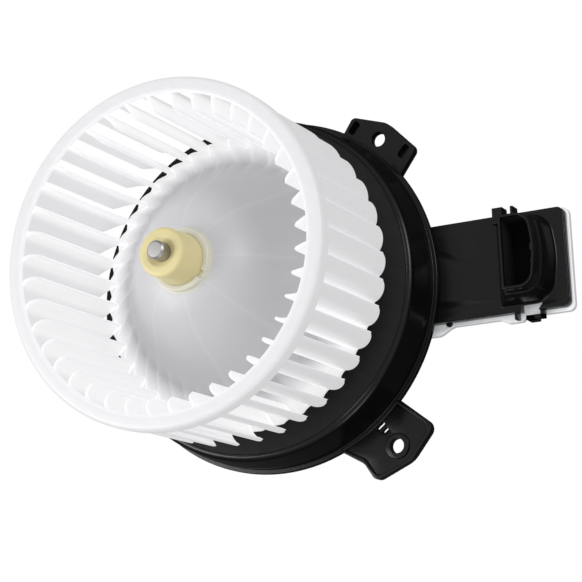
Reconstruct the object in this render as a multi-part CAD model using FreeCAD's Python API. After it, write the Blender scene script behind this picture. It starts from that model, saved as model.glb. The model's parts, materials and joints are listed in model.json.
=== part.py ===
import FreeCAD, Part
import os
from math import cos, pi, radians, sin, sqrt

# Car cabin blower motor, in millimetres.
# +Z runs along the motor shaft towards the fan's air inlet and +X along the controller arm.
# The origin is on the shaft axis, in the plane of the mounting lip's fan-side face.

# Fan wheel
WHEEL_RADIUS = 75.0
WHEEL_TOP_Z = 102.7
BLADE_TIP_Z = 32.5
BLADE_COUNT = 40
RING_HEIGHT = 7.1
RING_WALL = 2.4
BLADE_INTO_RING = 0.6
BLADE_INNER_RADIUS = WHEEL_RADIUS - 14.0
BLADE_RIM_INNER_RADIUS = WHEEL_RADIUS - 12.5
BLADE_TIP_ROUND = 7.0
BLADE_RIM_ROUND = 4.5
BLADE_EDGE_THICKNESS = 0.9
BLADE_MIDDLE_THICKNESS = 1.7
BLADE_INNER_SWEEP_DEG = 8.2
BLADE_MIDDLE_SWEEP_DEG = 5.9
BLADE_MIDDLE_RADIUS = WHEEL_RADIUS - 5.8
BLADE_END_MARGIN = 0.2
BLADE_INNER_TIP_ROUND = 1.5
FIRST_BLADE_DEG = 1.2
DISC_WALL = 2.2
DISC_INTO_BLADES = 1.2
DISC_RIM_Z = 37.0
DISC_SHOULDER = (BLADE_INNER_RADIUS - 17.0, 52.0)
DISC_CROWN = (23.0, 78.6)
DISC_COLLAR_DROP = 2.5
DISC_RIB_COUNT = 8
DISC_RIB_THICKNESS = 1.4
DISC_RIB_DEPTH = 3.5
DISC_RIB_END_RADIUS = 40.0
COLLAR_RADIUS = 13.6
COLLAR_TOP_Z = 85.5
COLLAR_NOTCH_WIDTH = 4.0
COLLAR_NOTCH_DEPTH = 1.6
COLLAR_NOTCH_DEG = -38.0

# Hub bush, moulded into the wheel
BUSH_RADIUS = 11.2
BUSH_FRONT_RADIUS = 10.6
BUSH_FRONT_Z = 101.0
BUSH_BACK_Z = 70.0
BUSH_SHOULDER_Z = 84.0
BUSH_KEY_COUNT = 3
BUSH_KEY_HEIGHT = 1.2
BUSH_KEY_WIDTH = 4.0
BUSH_KEY_DEPTH = 3.0
BUSH_TAPER = 0.6
BUSH_RECESS_RADIUS = 6.6
BUSH_RECESS_DEPTH = 2.6
BUSH_EDGE_ROUND = 1.6

# Motor shaft and its ring
SHAFT_RADIUS = 4.0
SHAFT_FRONT_Z = 106.0
SHAFT_BEVEL = 0.8
CLIP_THICKNESS = 1.0
CLIP_RADIUS = 8.0
CLIP_GAP_WIDTH = 3.0

# Motor can and end plate
CAN_RADIUS = 31.5
CAN_WALL = 1.6
CAN_FRONT_Z = 44.0
CAN_REAR_Z = -30.0
CAN_EDGE_ROUND = 3.0
BEARING_BOSS_RADIUS = 10.5
BEARING_BOSS_HEIGHT = 6.0
BOSS_WALL = 1.4
END_PLATE_THICKNESS = 2.0
SHAFT_HOLE_GAP = 0.8

# Bearings: sintered balls held by spring cups
BEARING_RADIUS = 7.4
BEARING_LENGTH = 8.0
BEARING_GAP = 0.03
RETAINER_THICKNESS = 0.6
RETAINER_FINGER_COUNT = 6
PART_GAP = 0.2

# Magnets
MAGNET_THICKNESS = 5.6
MAGNET_LENGTH = 46.0
MAGNET_ARC_DEG = 124.0
SPRING_PLATE_THICKNESS = 1.0
SPRING_PLATE_ARC_DEG = 44.0

# Armature
AIR_GAP = 0.8
CORE_LENGTH = 34.0
CORE_REAR_Z = -8.0
SLOT_COUNT = 12
SLOT_OPENING = 2.2
SLOT_FLOOR_RADIUS = 12.0
SLOT_LIP = 1.6
TOOTH_WIDTH = 3.0
WINDING_HEIGHT = 7.0
COMMUTATOR_RADIUS = 11.0
COMMUTATOR_LENGTH = 9.5
COMMUTATOR_REAR_Z = -26.6
COMMUTATOR_SLIT = 0.6
COMMUTATOR_SLIT_DEPTH = 1.2

# Brush gear
BRUSH_WIDTH = 6.0
BRUSH_HEIGHT = 7.6
BRUSH_LENGTH = 9.8
BRUSH_GAP = 0.15
BRUSH_FACE_GAP = 0.08
BRUSH_BOX_WALL = 1.1
BRUSH_BOX_END_X = 27.6
CARD_THICKNESS = 1.6
CARD_HOLE_RADIUS = 12.6
SPRING_COIL_RADIUS = 2.4
SPRING_WIRE = 0.8
SPRING_TURNS = 5

# Flange housing
LIP_RADIUS = 81.5
LIP_THICKNESS = 3.0
SPIGOT_RADIUS = 79.5
SPIGOT_HEIGHT = 6.0
WALL_TOP_RADIUS = 77.8
WALL_TOP_Z = 17.0
PLATEAU_Z = 20.0
SHOULDER_ROUND = 3.0
BEAD_INSET = 2.4
BEAD_HEIGHT = 0.5
BEAD_WIDTH = 0.9
HOUSING_WALL = 2.5
MOTOR_CUP_RADIUS = 37.8
MOTOR_CUP_REAR_Z = -26.0
NECK_HEIGHT = 3.5
NECK_LEDGE = 2.6
RIB_COUNT = 18
RIB_THICKNESS = 1.8
RIB_INNER_Z = -8.0
RIB_OUTER_Z = 3.0

# Mounting ears on the lip. Each outline's corners are (beyond the hole, along the lip, round), and the
# two foot values are where its sides meet the lip.
EAR_THICKNESS = 4.0
EAR_HOLE_RADIUS = 3.3
EAR_BOSS_WALL = 2.4
EAR_EDGE_RIM = 1.6
EAR_DISH_DEPTH = 1.0
EAR_SHALLOW = {
    "hole": LIP_RADIUS + 4.8, "at": 49.2, "foot": (-19.6, 16.4),
    "corners": [(6.4, -18.6, 3.0), (8.4, 1.0, 9.0), (1.6, 17.4, 2.5)],
}
EAR_DEEP = {
    "hole": LIP_RADIUS + 13.2, "at": -52.3, "foot": (-21.6, 13.6),
    "corners": [(-4.6, -16.6, 5.0), (5.2, -17.6, 3.5), (9.9, 1.0, 12.0), (5.8, 18.6, 4.0)],
}
EAR_REAR = {
    "hole": LIP_RADIUS + 6.5, "at": 200.0, "foot": (-17.6, 17.6),
    "corners": [(3.4, -17.2, 3.0), (8.2, 0.0, 9.0), (3.4, 17.2, 3.0)],
}
EAR_RECESS_WIDTH = 3.2
EAR_RECESS_LENGTH = 6.2
EAR_RECESS_FLOOR = 1.0
EAR_RECESS_PLACES = ((-2.0, 13.6), (2.0, -14.0))
EAR_SLOT_WIDTH = 1.6
EAR_SLOTS = ((-12.4, -0.2, 4.5), (-9.4, 0.2, 3.0))

# Rubber rings between the can and the housing
ISOLATOR_LENGTH = 9.0
ISOLATOR_REAR_Z = -24.0
ISOLATOR_GROOVE = 0.8

# Rear cover
COVER_WALL = 2.2
COVER_REAR_Z = -42.0
COVER_FLOOR = 2.5
COVER_FRONT_Z = -13.0
COVER_EDGE_ROUND = 3.0
COVER_VENT_COUNT = 8
COVER_VENT_WIDTH = 3.6
COVER_VENT_START = 13.0
COVER_VENT_END = 22.0
COVER_SEAT_RADIUS = 27.0
COVER_SEAT_WIDTH = 2.4
COVER_EAR_REACH = 45.5
COVER_EAR_RADIUS = 4.6
COVER_EAR_THICKNESS = 3.0
COVER_EAR_COUNT = 3
COVER_EAR_START_DEG = 70.0
SCREW_RADIUS = 1.6
SCREW_HEAD_RADIUS = 3.2
SCREW_HEAD_HEIGHT = 2.2
SCREW_LENGTH = 11.0
SCREW_SOCKET_RADIUS = 1.5
SCREW_SOCKET_DEPTH = 1.2
SCREW_HOLE_GAP = 0.25

# Controller arm
ARM_TOP_Z = -3.0
ARM_THICKNESS = 5.0
ARM_START_X = 64.0
ARM_END_X = 140.0
ARM_SIDE_Y = (-22.5, 21.4)
ARM_CORNER_ROUND = 3.0
ARM_ROOF = 1.7
ARM_WALL = 2.0
ARM_POCKET_X = (84.0, 137.0)
ARM_NOTCH_X = (118.0, 129.0)
ARM_NOTCH_DEPTH = 4.0
ARM_NOTCH_LEAN = 3.0

# Plug socket on the arm: its mouth, and how far the outside stands off the mouth (near, far, sides)
SOCKET_NEAR_X = 118.1
SOCKET_FAR_X = 131.0
SOCKET_HALF_Y = 15.1
SOCKET_BOW = 0.9
SOCKET_CORNER = 5.6
SOCKET_RIM_Z = 16.0
SOCKET_STEP_Z = 10.0
SOCKET_FLOOR_Z = -1.0
SOCKET_RIM_GROW = (1.3, 1.3, 1.3)
SOCKET_STEP_GROW = (2.3, 2.8, 2.5)
SOCKET_SKIRT_GROW = (8.0, 4.3, 4.0)
SOCKET_BASE_GROW = (9.0, 5.6, 5.0)
SOCKET_SKIRT_HEIGHT = 1.5
CODING_TAB = (109.4, 114.1, 23.8)
CODING_RIB = (117.8, 119.0, 23.6)
CODING_TOP_Z = 2.0

# Terminals, board and transistor inside the arm
PIN_COUNT = 4
PIN_PITCH = 6.5
PIN_WIDTH = 2.8
PIN_THICKNESS = 0.8
PIN_X = 127.6
PIN_TIP_Z = 6.0
PIN_TAIL = 16.0
BOARD_THICKNESS = 1.0
BOARD_X = (87.0, 115.0)
BOARD_Y = (-19.0, 17.0)
TRANSISTOR_SIZE = (9.0, 10.0, 2.3)
TRANSISTOR_AT = (97.0, -8.0)
LEAD_WIDTH = 3.0
LEAD_THICKNESS = 0.8
LEAD_Y = (-4.0, 4.0)
LEAD_INTO_CUP = 1.2

# Heat sink plate below the arm
PLATE_THICKNESS = 3.0
PLATE_START_X = 62.0
PLATE_END_X = 141.0
PLATE_SIDE_Y = (-24.0, 22.0)
PLATE_FLARE_Y = 27.4
PLATE_FLARE_X = 80.0
PLATE_LOBE_X = (106.5, 118.8)
PLATE_LOBE_Y = -26.0
PEG_RADIUS = 1.4
PEG_AT = (82.6, -22.4)
PEG_END_Z = -13.4
PEG_GAP = 0.2
FIN_COUNT = 8
FIN_PITCH = 5.0
FIN_THICKNESS = 1.6
FIN_HEIGHT = 7.0
FIN_X = (86.0, 132.0)
ARM_SCREW_X = 70.0
ARM_SCREW_Y = 14.0
ARM_BOSS_RADIUS = 4.0

# Snap arm along the plate's edge, and the fin beside it
CLIP_X = (119.6, 128.0)
CLIP_HOOK_LENGTH = 4.2
CLIP_ROOT_LENGTH = 1.8
CLIP_THICK = 1.9
CLIP_TOP_Z = -4.5
CLIP_HOOK_HEIGHT = 1.2
CLIP_FIN_X = (115.0, 116.3)
CLIP_FIN_Y = -25.6

Z_AXIS = FreeCAD.Vector(0, 0, 1)


def vec(x, y, z=0.0):
    return FreeCAD.Vector(x, y, z)


def polar(radius, angle_deg, z=0.0):
    """Point at a radius and an angle about the shaft axis."""
    angle = radians(angle_deg)
    return vec(radius * cos(angle), radius * sin(angle), z)


def block(x, y, z):
    """Box between the pairs of limits x, y and z."""
    size = (max(x) - min(x), max(y) - min(y), max(z) - min(z))
    return Part.makeBox(*size, vec(min(x), min(y), min(z)))


def rod(radius, z, at=(0.0, 0.0)):
    """Upright cylinder between the two heights z."""
    return Part.makeCylinder(radius, max(z) - min(z), vec(at[0], at[1], min(z)))


def tube(outer, inner, z, at=(0.0, 0.0)):
    return rod(outer, z, at).cut(rod(inner, z, at))


def turned(outline):
    """Solid of revolution about the shaft axis. The outline is a closed list of (radius, z) corners, and
    a corner with a third number is replaced by an arc of that radius."""
    wire = rounded_wire([(r, 0.0, z, *more) for r, z, *more in outline])
    return Part.Face(wire).revolve(vec(0, 0), Z_AXIS, 360)


def rounded_wire(corners):
    """Closed wire through (x, y, z) corners, with an arc at each corner that carries a fourth number."""
    points = [FreeCAD.Vector(*c[:3]) for c in corners]
    count = len(points)
    starts, arcs, ends = [], [], []
    for i, corner in enumerate(corners):
        here = points[i]
        radius = corner[3] if len(corner) > 3 else 0.0
        if not radius:
            starts.append(here)
            ends.append(here)
            arcs.append(None)
            continue
        back = (points[i - 1] - here).normalize()
        forth = (points[(i + 1) % count] - here).normalize()
        half = back.getAngle(forth) / 2
        reach = radius * cos(half) / sin(half)
        middle = here + (back + forth).normalize() * (radius / sin(half) - radius)
        starts.append(here + back * reach)
        ends.append(here + forth * reach)
        arcs.append(Part.Arc(starts[-1], middle, ends[-1]))
    edges = []
    for i in range(count):
        if arcs[i]:
            edges.append(arcs[i].toShape())
        following = starts[(i + 1) % count]
        if (following - ends[i]).Length > 1e-6:
            edges.append(Part.LineSegment(ends[i], following).toShape())
    return Part.Wire(edges)


def plate(corners, z):
    """Flat plate between two heights, from (x, y) or (x, y, round) corners."""
    wire = rounded_wire([(c[0], c[1], min(z), *c[2:]) for c in corners])
    return Part.Face(wire).extrude(vec(0, 0, max(z) - min(z)))


def turned_copy(shape, angle_deg):
    copy = shape.copy()
    copy.rotate(vec(0, 0), Z_AXIS, angle_deg)
    return copy


def around(shape, count, start_deg=0.0):
    """Copies of a shape spaced evenly about the shaft axis."""
    return [turned_copy(shape, start_deg + 360.0 * i / count) for i in range(count)]


def fused(shapes):
    first, *others = shapes
    return first.multiFuse(others).removeSplitter() if others else first


# Fan wheel

def blade_section():
    """Crescent in plan: a convex and a concave arc between a nearly radial inner end and a nearly
    tangential outer end."""
    outer = WHEEL_RADIUS - RING_WALL + BLADE_INTO_RING
    inner_end = polar(BLADE_INNER_RADIUS - BLADE_END_MARGIN, -BLADE_INNER_SWEEP_DEG, BLADE_TIP_Z)
    outer_end = polar(outer + BLADE_END_MARGIN, 0.0, BLADE_TIP_Z)
    middle = polar(BLADE_MIDDLE_RADIUS, -BLADE_MIDDLE_SWEEP_DEG, BLADE_TIP_Z)
    chord = (outer_end - inner_end).normalize()
    across = chord.cross(Z_AXIS)
    half_edge = BLADE_EDGE_THICKNESS / 2
    half_middle = BLADE_MIDDLE_THICKNESS / 2
    inner_side = vec(0, 1) * half_edge
    outer_side = vec(-1, 0) * half_edge
    convex = Part.Arc(inner_end - inner_side, middle + across * half_middle, outer_end - outer_side)
    concave = Part.Arc(outer_end + outer_side, middle - across * half_middle, inner_end + inner_side)
    joins = [
        Part.LineSegment(outer_end - outer_side, outer_end + outer_side),
        Part.LineSegment(inner_end + inner_side, inner_end - inner_side),
    ]
    edges = [convex, joins[0], concave, joins[1]]
    return Part.Face(Part.Wire([e.toShape() for e in edges]))


def blade_envelope():
    """Ring-shaped space that the blades fill: rounded at the free tips and at the inlet's inner corner."""
    outer = WHEEL_RADIUS - RING_WALL + BLADE_INTO_RING
    return turned([
        (BLADE_INNER_RADIUS, BLADE_TIP_Z, BLADE_INNER_TIP_ROUND),
        (outer, BLADE_TIP_Z, BLADE_TIP_ROUND),
        (outer, WHEEL_TOP_Z),
        (BLADE_RIM_INNER_RADIUS, WHEEL_TOP_Z, BLADE_RIM_ROUND),
    ])


def disc_line(drop=0.0):
    """Bell-shaped line of the wheel's disc, from the collar out to the blades."""
    points = [
        vec(COLLAR_RADIUS - 1.0, 0, COLLAR_TOP_Z - DISC_COLLAR_DROP - drop),
        vec(DISC_CROWN[0], 0, DISC_CROWN[1] - drop),
        vec(DISC_SHOULDER[0] - drop * 0.5, 0, DISC_SHOULDER[1] - drop),
        vec(BLADE_INNER_RADIUS + DISC_INTO_BLADES, 0, DISC_RIM_Z - drop),
    ]
    line = Part.BSplineCurve()
    line.interpolate(points)
    return line, points


def disc_shell(top_drop, bottom_drop):
    upper, upper_points = disc_line(top_drop)
    lower, lower_points = disc_line(bottom_drop)
    edges = [
        upper.toShape(),
        Part.LineSegment(upper_points[-1], lower_points[-1]).toShape(),
        lower.toShape(),
        Part.LineSegment(lower_points[0], upper_points[0]).toShape(),
    ]
    return Part.Face(Part.Wire(Part.sortEdges(edges)[0])).revolve(vec(0, 0), Z_AXIS, 360)


def disc_ribs():
    """Low stiffening ribs under the disc, following its curve."""
    space = disc_shell(DISC_WALL * 0.5, DISC_WALL + DISC_RIB_DEPTH)
    half = DISC_RIB_THICKNESS / 2
    rib = block((COLLAR_RADIUS - 1, DISC_RIB_END_RADIUS), (-half, half), (0.0, WHEEL_TOP_Z)).common(space)
    return around(rib, DISC_RIB_COUNT)


def fan_wheel(bush):
    height = WHEEL_TOP_Z - BLADE_TIP_Z
    blade = blade_section().extrude(vec(0, 0, height)).common(blade_envelope())
    blades = around(blade, BLADE_COUNT, FIRST_BLADE_DEG)
    ring = tube(WHEEL_RADIUS, WHEEL_RADIUS - RING_WALL, (WHEEL_TOP_Z - RING_HEIGHT, WHEEL_TOP_Z))
    disc = disc_shell(0.0, DISC_WALL)
    sleeve = rod(COLLAR_RADIUS, (BUSH_BACK_Z + 1.0, COLLAR_TOP_Z))
    half = COLLAR_NOTCH_WIDTH / 2
    notch = block((BUSH_RADIUS, COLLAR_RADIUS + 1), (-half, half), (COLLAR_TOP_Z - COLLAR_NOTCH_DEPTH, COLLAR_TOP_Z + 1))
    hub = fused([disc, sleeve, *disc_ribs()]).cut(turned_copy(notch, COLLAR_NOTCH_DEG))
    shaft_space = rod(SHAFT_RADIUS, (BUSH_BACK_Z, COLLAR_TOP_Z))
    return fused([ring, hub, *blades]).cut(bush).cut(shaft_space)


def hub_bush():
    body = turned([
        (SHAFT_RADIUS, BUSH_BACK_Z),
        (BUSH_RADIUS - BUSH_TAPER, BUSH_BACK_Z),
        (BUSH_RADIUS, BUSH_SHOULDER_Z),
        (BUSH_FRONT_RADIUS, BUSH_FRONT_Z, BUSH_EDGE_ROUND),
        (BUSH_RECESS_RADIUS, BUSH_FRONT_Z, 0.5),
        (SHAFT_RADIUS, BUSH_FRONT_Z - BUSH_RECESS_DEPTH),
    ])
    half = BUSH_KEY_WIDTH / 2
    key = block((SHAFT_RADIUS + 2, BUSH_RADIUS + BUSH_KEY_HEIGHT), (-half, half),
                (BUSH_BACK_Z, BUSH_SHOULDER_Z - BUSH_KEY_DEPTH))
    return fused([body, *around(key, BUSH_KEY_COUNT, 30.0)])


def shaft_rear_z():
    return CAN_REAR_Z - END_PLATE_THICKNESS - BEARING_BOSS_HEIGHT + BOSS_WALL + PART_GAP


def motor_shaft():
    rear = shaft_rear_z()
    return turned([
        (0.0, rear),
        (SHAFT_RADIUS - SHAFT_BEVEL, rear),
        (SHAFT_RADIUS, rear + SHAFT_BEVEL),
        (SHAFT_RADIUS, SHAFT_FRONT_Z - SHAFT_BEVEL),
        (SHAFT_RADIUS - SHAFT_BEVEL, SHAFT_FRONT_Z),
        (0.0, SHAFT_FRONT_Z),
    ])


def shaft_clip():
    """Open spring ring that stops the wheel from sliding towards the motor."""
    top = BUSH_BACK_Z
    ring = tube(CLIP_RADIUS, SHAFT_RADIUS, (top - CLIP_THICKNESS, top))
    half = CLIP_GAP_WIDTH / 2
    return ring.cut(block((0, CLIP_RADIUS + 1), (-half, half), (top - CLIP_THICKNESS, top)))


# Armature

def core_radius():
    return CAN_RADIUS - CAN_WALL - PART_GAP - MAGNET_THICKNESS - AIR_GAP


def slot_tool(clearance=0.0):
    """One winding slot: parallel-sided teeth are left, so that it widens outwards."""
    outer = core_radius() - SLOT_LIP - clearance
    inner = SLOT_FLOOR_RADIUS + clearance

    def half_width(radius):
        return radius * sin(pi / SLOT_COUNT) - TOOTH_WIDTH / 2 - clearance

    corners = [
        (inner, -half_width(inner)),
        (outer, -half_width(outer)),
        (outer, half_width(outer)),
        (inner, half_width(inner)),
    ]
    z = (CORE_REAR_Z - 1, CORE_REAR_Z + CORE_LENGTH + 1)
    return plate(corners, z)


def armature_core():
    z = (CORE_REAR_Z, CORE_REAR_Z + CORE_LENGTH)
    stack = tube(core_radius(), SHAFT_RADIUS, z)
    half = SLOT_OPENING / 2
    mouth = block((core_radius() - SLOT_LIP - 0.5, core_radius() + 1), (-half, half), (z[0] - 1, z[1] + 1))
    slots = around(slot_tool().fuse(mouth), SLOT_COUNT)
    return stack.cut(Part.makeCompound(slots))


def armature_winding():
    """Copper bars in the slots, joined by a rounded bundle of end turns on each side."""
    outer = core_radius() - SLOT_LIP
    inner = SLOT_FLOOR_RADIUS - 1.5
    rear = CORE_REAR_Z - PART_GAP
    front = CORE_REAR_Z + CORE_LENGTH + PART_GAP
    bundles = []
    for near, far in ((rear, rear - WINDING_HEIGHT), (front, front + WINDING_HEIGHT)):
        bundles.append(turned([(inner, near), (outer, near), (outer, far, 2.6), (inner, far, 2.6)]))
    return fused([*bundles, *around(slot_tool(PART_GAP), SLOT_COUNT)])


def commutator():
    z = (COMMUTATOR_REAR_Z, COMMUTATOR_REAR_Z + COMMUTATOR_LENGTH)
    drum = tube(COMMUTATOR_RADIUS, SHAFT_RADIUS, z)
    half = COMMUTATOR_SLIT / 2
    slit = block((COMMUTATOR_RADIUS - COMMUTATOR_SLIT_DEPTH, COMMUTATOR_RADIUS + 1), (-half, half),
                 (z[0] - 1, z[1] + 1))
    return drum.cut(Part.makeCompound(around(slit, SLOT_COUNT, 15.0)))


# Motor body

def bearing_heights():
    """Mid-heights of the front and the rear bearing, inside their bosses."""
    front = CAN_FRONT_Z + BEARING_BOSS_HEIGHT - BOSS_WALL - BEARING_LENGTH / 2 - PART_GAP
    rear = CAN_REAR_Z - END_PLATE_THICKNESS - BEARING_BOSS_HEIGHT + BOSS_WALL + BEARING_LENGTH / 2 + PART_GAP
    return front, rear


def motor_can():
    """Deep-drawn steel can with a raised boss for the front bearing."""
    inner = CAN_RADIUS - CAN_WALL
    boss_top = CAN_FRONT_Z + BEARING_BOSS_HEIGHT
    hole = SHAFT_RADIUS + SHAFT_HOLE_GAP
    boss_inner = BEARING_BOSS_RADIUS - BOSS_WALL
    return turned([
        (inner, CAN_REAR_Z),
        (CAN_RADIUS, CAN_REAR_Z),
        (CAN_RADIUS, CAN_FRONT_Z, CAN_EDGE_ROUND),
        (BEARING_BOSS_RADIUS, CAN_FRONT_Z, 0.8),
        (BEARING_BOSS_RADIUS, boss_top, 1.2),
        (hole, boss_top),
        (hole, boss_top - BOSS_WALL),
        (boss_inner, boss_top - BOSS_WALL),
        (boss_inner, CAN_FRONT_Z - CAN_WALL),
        (inner, CAN_FRONT_Z - CAN_WALL, CAN_EDGE_ROUND - CAN_WALL),
    ])


def end_plate():
    """Steel plate that closes the can, with the rear bearing's boss."""
    rear = CAN_REAR_Z - END_PLATE_THICKNESS
    boss_end = rear - BEARING_BOSS_HEIGHT
    boss_inner = BEARING_BOSS_RADIUS - BOSS_WALL
    return turned([
        (boss_inner, CAN_REAR_Z),
        (CAN_RADIUS, CAN_REAR_Z),
        (CAN_RADIUS, rear),
        (BEARING_BOSS_RADIUS, rear, 0.8),
        (BEARING_BOSS_RADIUS, boss_end, 1.0),
        (0.0, boss_end),
        (0.0, boss_end + BOSS_WALL),
        (boss_inner, boss_end + BOSS_WALL),
    ])


def bearing(middle_z):
    """Sintered bush with a ball-shaped outside, bored for the shaft with a running gap."""
    ball = Part.makeSphere(BEARING_RADIUS, vec(0, 0, middle_z))
    slab = rod(BEARING_RADIUS + 1, (middle_z - BEARING_LENGTH / 2, middle_z + BEARING_LENGTH / 2))
    bore = rod(SHAFT_RADIUS + BEARING_GAP, (middle_z - BEARING_LENGTH, middle_z + BEARING_LENGTH))
    return ball.common(slab).cut(bore)


def bearing_retainer(middle_z, side):
    """Slotted spring cup round a bearing, open to the side that the bearing is pressed from."""
    outer = BEARING_BOSS_RADIUS - BOSS_WALL - PART_GAP
    inner = BEARING_RADIUS + PART_GAP
    near = middle_z - side * BEARING_LENGTH / 2
    far = middle_z + side * BEARING_LENGTH / 4
    cup = turned([(inner, near), (outer, near), (outer, far), (outer - RETAINER_THICKNESS, far), (inner, middle_z)])
    slit = block((inner - 1, outer + 1), (-0.5, 0.5), (middle_z, far))
    return cup.cut(Part.makeCompound(around(slit, RETAINER_FINGER_COUNT)))


def arc_block(outer, inner, z, arc_deg, middle_deg):
    """Part of a tube that spans an arc about the given direction."""
    body = Part.makeCylinder(outer, max(z) - min(z), vec(0, 0, min(z)), Z_AXIS, arc_deg)
    hollow = rod(inner, (min(z) - 1, max(z) + 1))
    return turned_copy(body.cut(hollow), middle_deg - arc_deg / 2)


def magnet_heights():
    middle = CORE_REAR_Z + CORE_LENGTH / 2
    return middle - MAGNET_LENGTH / 2, middle + MAGNET_LENGTH / 2


def field_magnets():
    outer = CAN_RADIUS - CAN_WALL - PART_GAP
    inner = outer - MAGNET_THICKNESS
    return Part.makeCompound([
        arc_block(outer, inner, magnet_heights(), MAGNET_ARC_DEG, middle) for middle in (90.0, 270.0)
    ])


def magnet_springs():
    """Two bent spring plates that hold the magnets apart against the can."""
    outer = CAN_RADIUS - CAN_WALL - PART_GAP
    inner = outer - SPRING_PLATE_THICKNESS
    return Part.makeCompound([
        arc_block(outer, inner, magnet_heights(), SPRING_PLATE_ARC_DEG, middle) for middle in (0.0, 180.0)
    ])


# Brush gear

def brush_heights():
    middle = COMMUTATOR_REAR_Z + COMMUTATOR_LENGTH / 2
    return middle - BRUSH_HEIGHT / 2, middle + BRUSH_HEIGHT / 2


def brush_card():
    """Insulating ring with two brush boxes, each a tube on a rib of the ring."""
    bottom, top = brush_heights()
    bottom -= BRUSH_GAP
    top += BRUSH_GAP
    half = BRUSH_WIDTH / 2 + BRUSH_GAP
    start = COMMUTATOR_RADIUS + 1.4
    end = BRUSH_BOX_END_X + BRUSH_BOX_WALL
    wall = BRUSH_BOX_WALL
    ring = tube(CAN_RADIUS - CAN_WALL - PART_GAP, CARD_HOLE_RADIUS, (bottom - wall - CARD_THICKNESS, bottom - wall))
    case = block((start, end), (-half - wall, half + wall), (bottom - wall - 0.5, top + wall))
    channel = block((start - 1, BRUSH_BOX_END_X), (-half, half), (bottom, top))
    cases = [turned_copy(case, a) for a in (0.0, 180.0)]
    channels = [turned_copy(channel, a) for a in (0.0, 180.0)]
    return fused([ring, *cases]).cut(Part.makeCompound(channels))


def brush(angle_deg):
    """Carbon block with a hollow face that follows the commutator."""
    start = COMMUTATOR_RADIUS - 1.0
    end = COMMUTATOR_RADIUS + BRUSH_LENGTH
    half = BRUSH_WIDTH / 2
    body = block((start, end), (-half, half), brush_heights())
    body = body.cut(rod(COMMUTATOR_RADIUS + BRUSH_FACE_GAP, (COMMUTATOR_REAR_Z - 5, 0)))
    return turned_copy(body, angle_deg)


def brush_spring(angle_deg):
    """Coil spring between the brush and the closed end of its box, drawn as close turns."""
    start = COMMUTATOR_RADIUS + BRUSH_LENGTH + 0.1
    length = BRUSH_BOX_END_X - 0.1 - start
    pitch = length / SPRING_TURNS
    outer = SPRING_COIL_RADIUS
    root = outer - SPRING_WIRE * 0.45
    corners = [(start, outer - SPRING_WIRE)]
    for i in range(SPRING_TURNS):
        corners.append((start + pitch * i, root))
        corners.append((start + pitch * (i + 0.5), outer))
    corners.append((start + length, root))
    corners.append((start + length, outer - SPRING_WIRE))
    wire = Part.makePolygon([vec(x, r) for x, r in corners + corners[:1]])
    coil = Part.Face(wire).revolve(vec(0, 0), vec(1, 0), 360)
    coil.translate(vec(0, 0, sum(brush_heights()) / 2))
    return turned_copy(coil, angle_deg)


# Flange housing

def ear_outline(ear, inset=0.0):
    """Ear with a bowed outer edge, in the ear's own frame: x outwards and y along the lip. An inset draws
    all sides in by the same distance."""
    corners = [(ear["hole"] + x - inset, y - inset if y > 0 else y + inset, r) for x, y, r in ear["corners"]]
    low, high = ear["foot"][0] + inset, ear["foot"][1] - inset
    root = LIP_RADIUS - 1.0
    return [(sqrt(root ** 2 - low ** 2), low), *corners, (sqrt(root ** 2 - high ** 2), high)]


def slot_block(middle, length, width, z):
    """Slot with its long side in x or in y, about the point middle."""
    return block((middle[0] - length / 2, middle[0] + length / 2), (middle[1] - width / 2, middle[1] + width / 2), z)


def ear_solid(ear, recesses):
    """Ear with its bore: either with two blind recesses, or dished with two fine slots near the lip."""
    z = (-EAR_THICKNESS, 0.0)
    through = (-EAR_THICKNESS - 1, 1)
    body = plate(ear_outline(ear), z)
    hole = ear["hole"]
    if recesses:
        recess_z = (EAR_RECESS_FLOOR - EAR_THICKNESS, 1)
        cuts = [slot_block((hole + x, y), EAR_RECESS_LENGTH, EAR_RECESS_WIDTH, recess_z) for x, y in EAR_RECESS_PLACES]
    else:
        dish = plate(ear_outline(ear, EAR_EDGE_RIM), (-EAR_DISH_DEPTH, 1))
        body = body.cut(dish)
        cuts = [slot_block((hole + x, y), EAR_SLOT_WIDTH, length, through) for x, y, length in EAR_SLOTS]
    boss = rod(EAR_HOLE_RADIUS + EAR_BOSS_WALL, z, (hole, 0.0))
    bore = rod(EAR_HOLE_RADIUS, through, (hole, 0.0))
    return turned_copy(body.fuse(boss).cut(Part.makeCompound([bore, *cuts])), ear["at"])


def flange_shell():
    """Lip, spigot, drafted wall, rounded shoulder, flat top, neck and motor cup as one turned moulding."""
    wall = HOUSING_WALL
    cup_inner = MOTOR_CUP_RADIUS - wall
    ledge = cup_inner - NECK_LEDGE
    under = PLATEAU_Z - wall
    return turned([
        (SPIGOT_RADIUS - wall, -LIP_THICKNESS),
        (LIP_RADIUS, -LIP_THICKNESS),
        (LIP_RADIUS, 0.0, 0.4),
        (SPIGOT_RADIUS, 0.0),
        (SPIGOT_RADIUS, SPIGOT_HEIGHT),
        (WALL_TOP_RADIUS, PLATEAU_Z, SHOULDER_ROUND),
        (MOTOR_CUP_RADIUS, PLATEAU_Z),
        (MOTOR_CUP_RADIUS, PLATEAU_Z + NECK_HEIGHT, 1.0),
        (ledge, PLATEAU_Z + NECK_HEIGHT, 0.8),
        (ledge, PLATEAU_Z + NECK_HEIGHT - wall),
        (cup_inner, PLATEAU_Z + NECK_HEIGHT - wall),
        (cup_inner, MOTOR_CUP_REAR_Z),
        (MOTOR_CUP_RADIUS, MOTOR_CUP_REAR_Z),
        (MOTOR_CUP_RADIUS, under, 2.0),
        (WALL_TOP_RADIUS - wall, under, SHOULDER_ROUND - 1.0),
    ])


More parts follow.
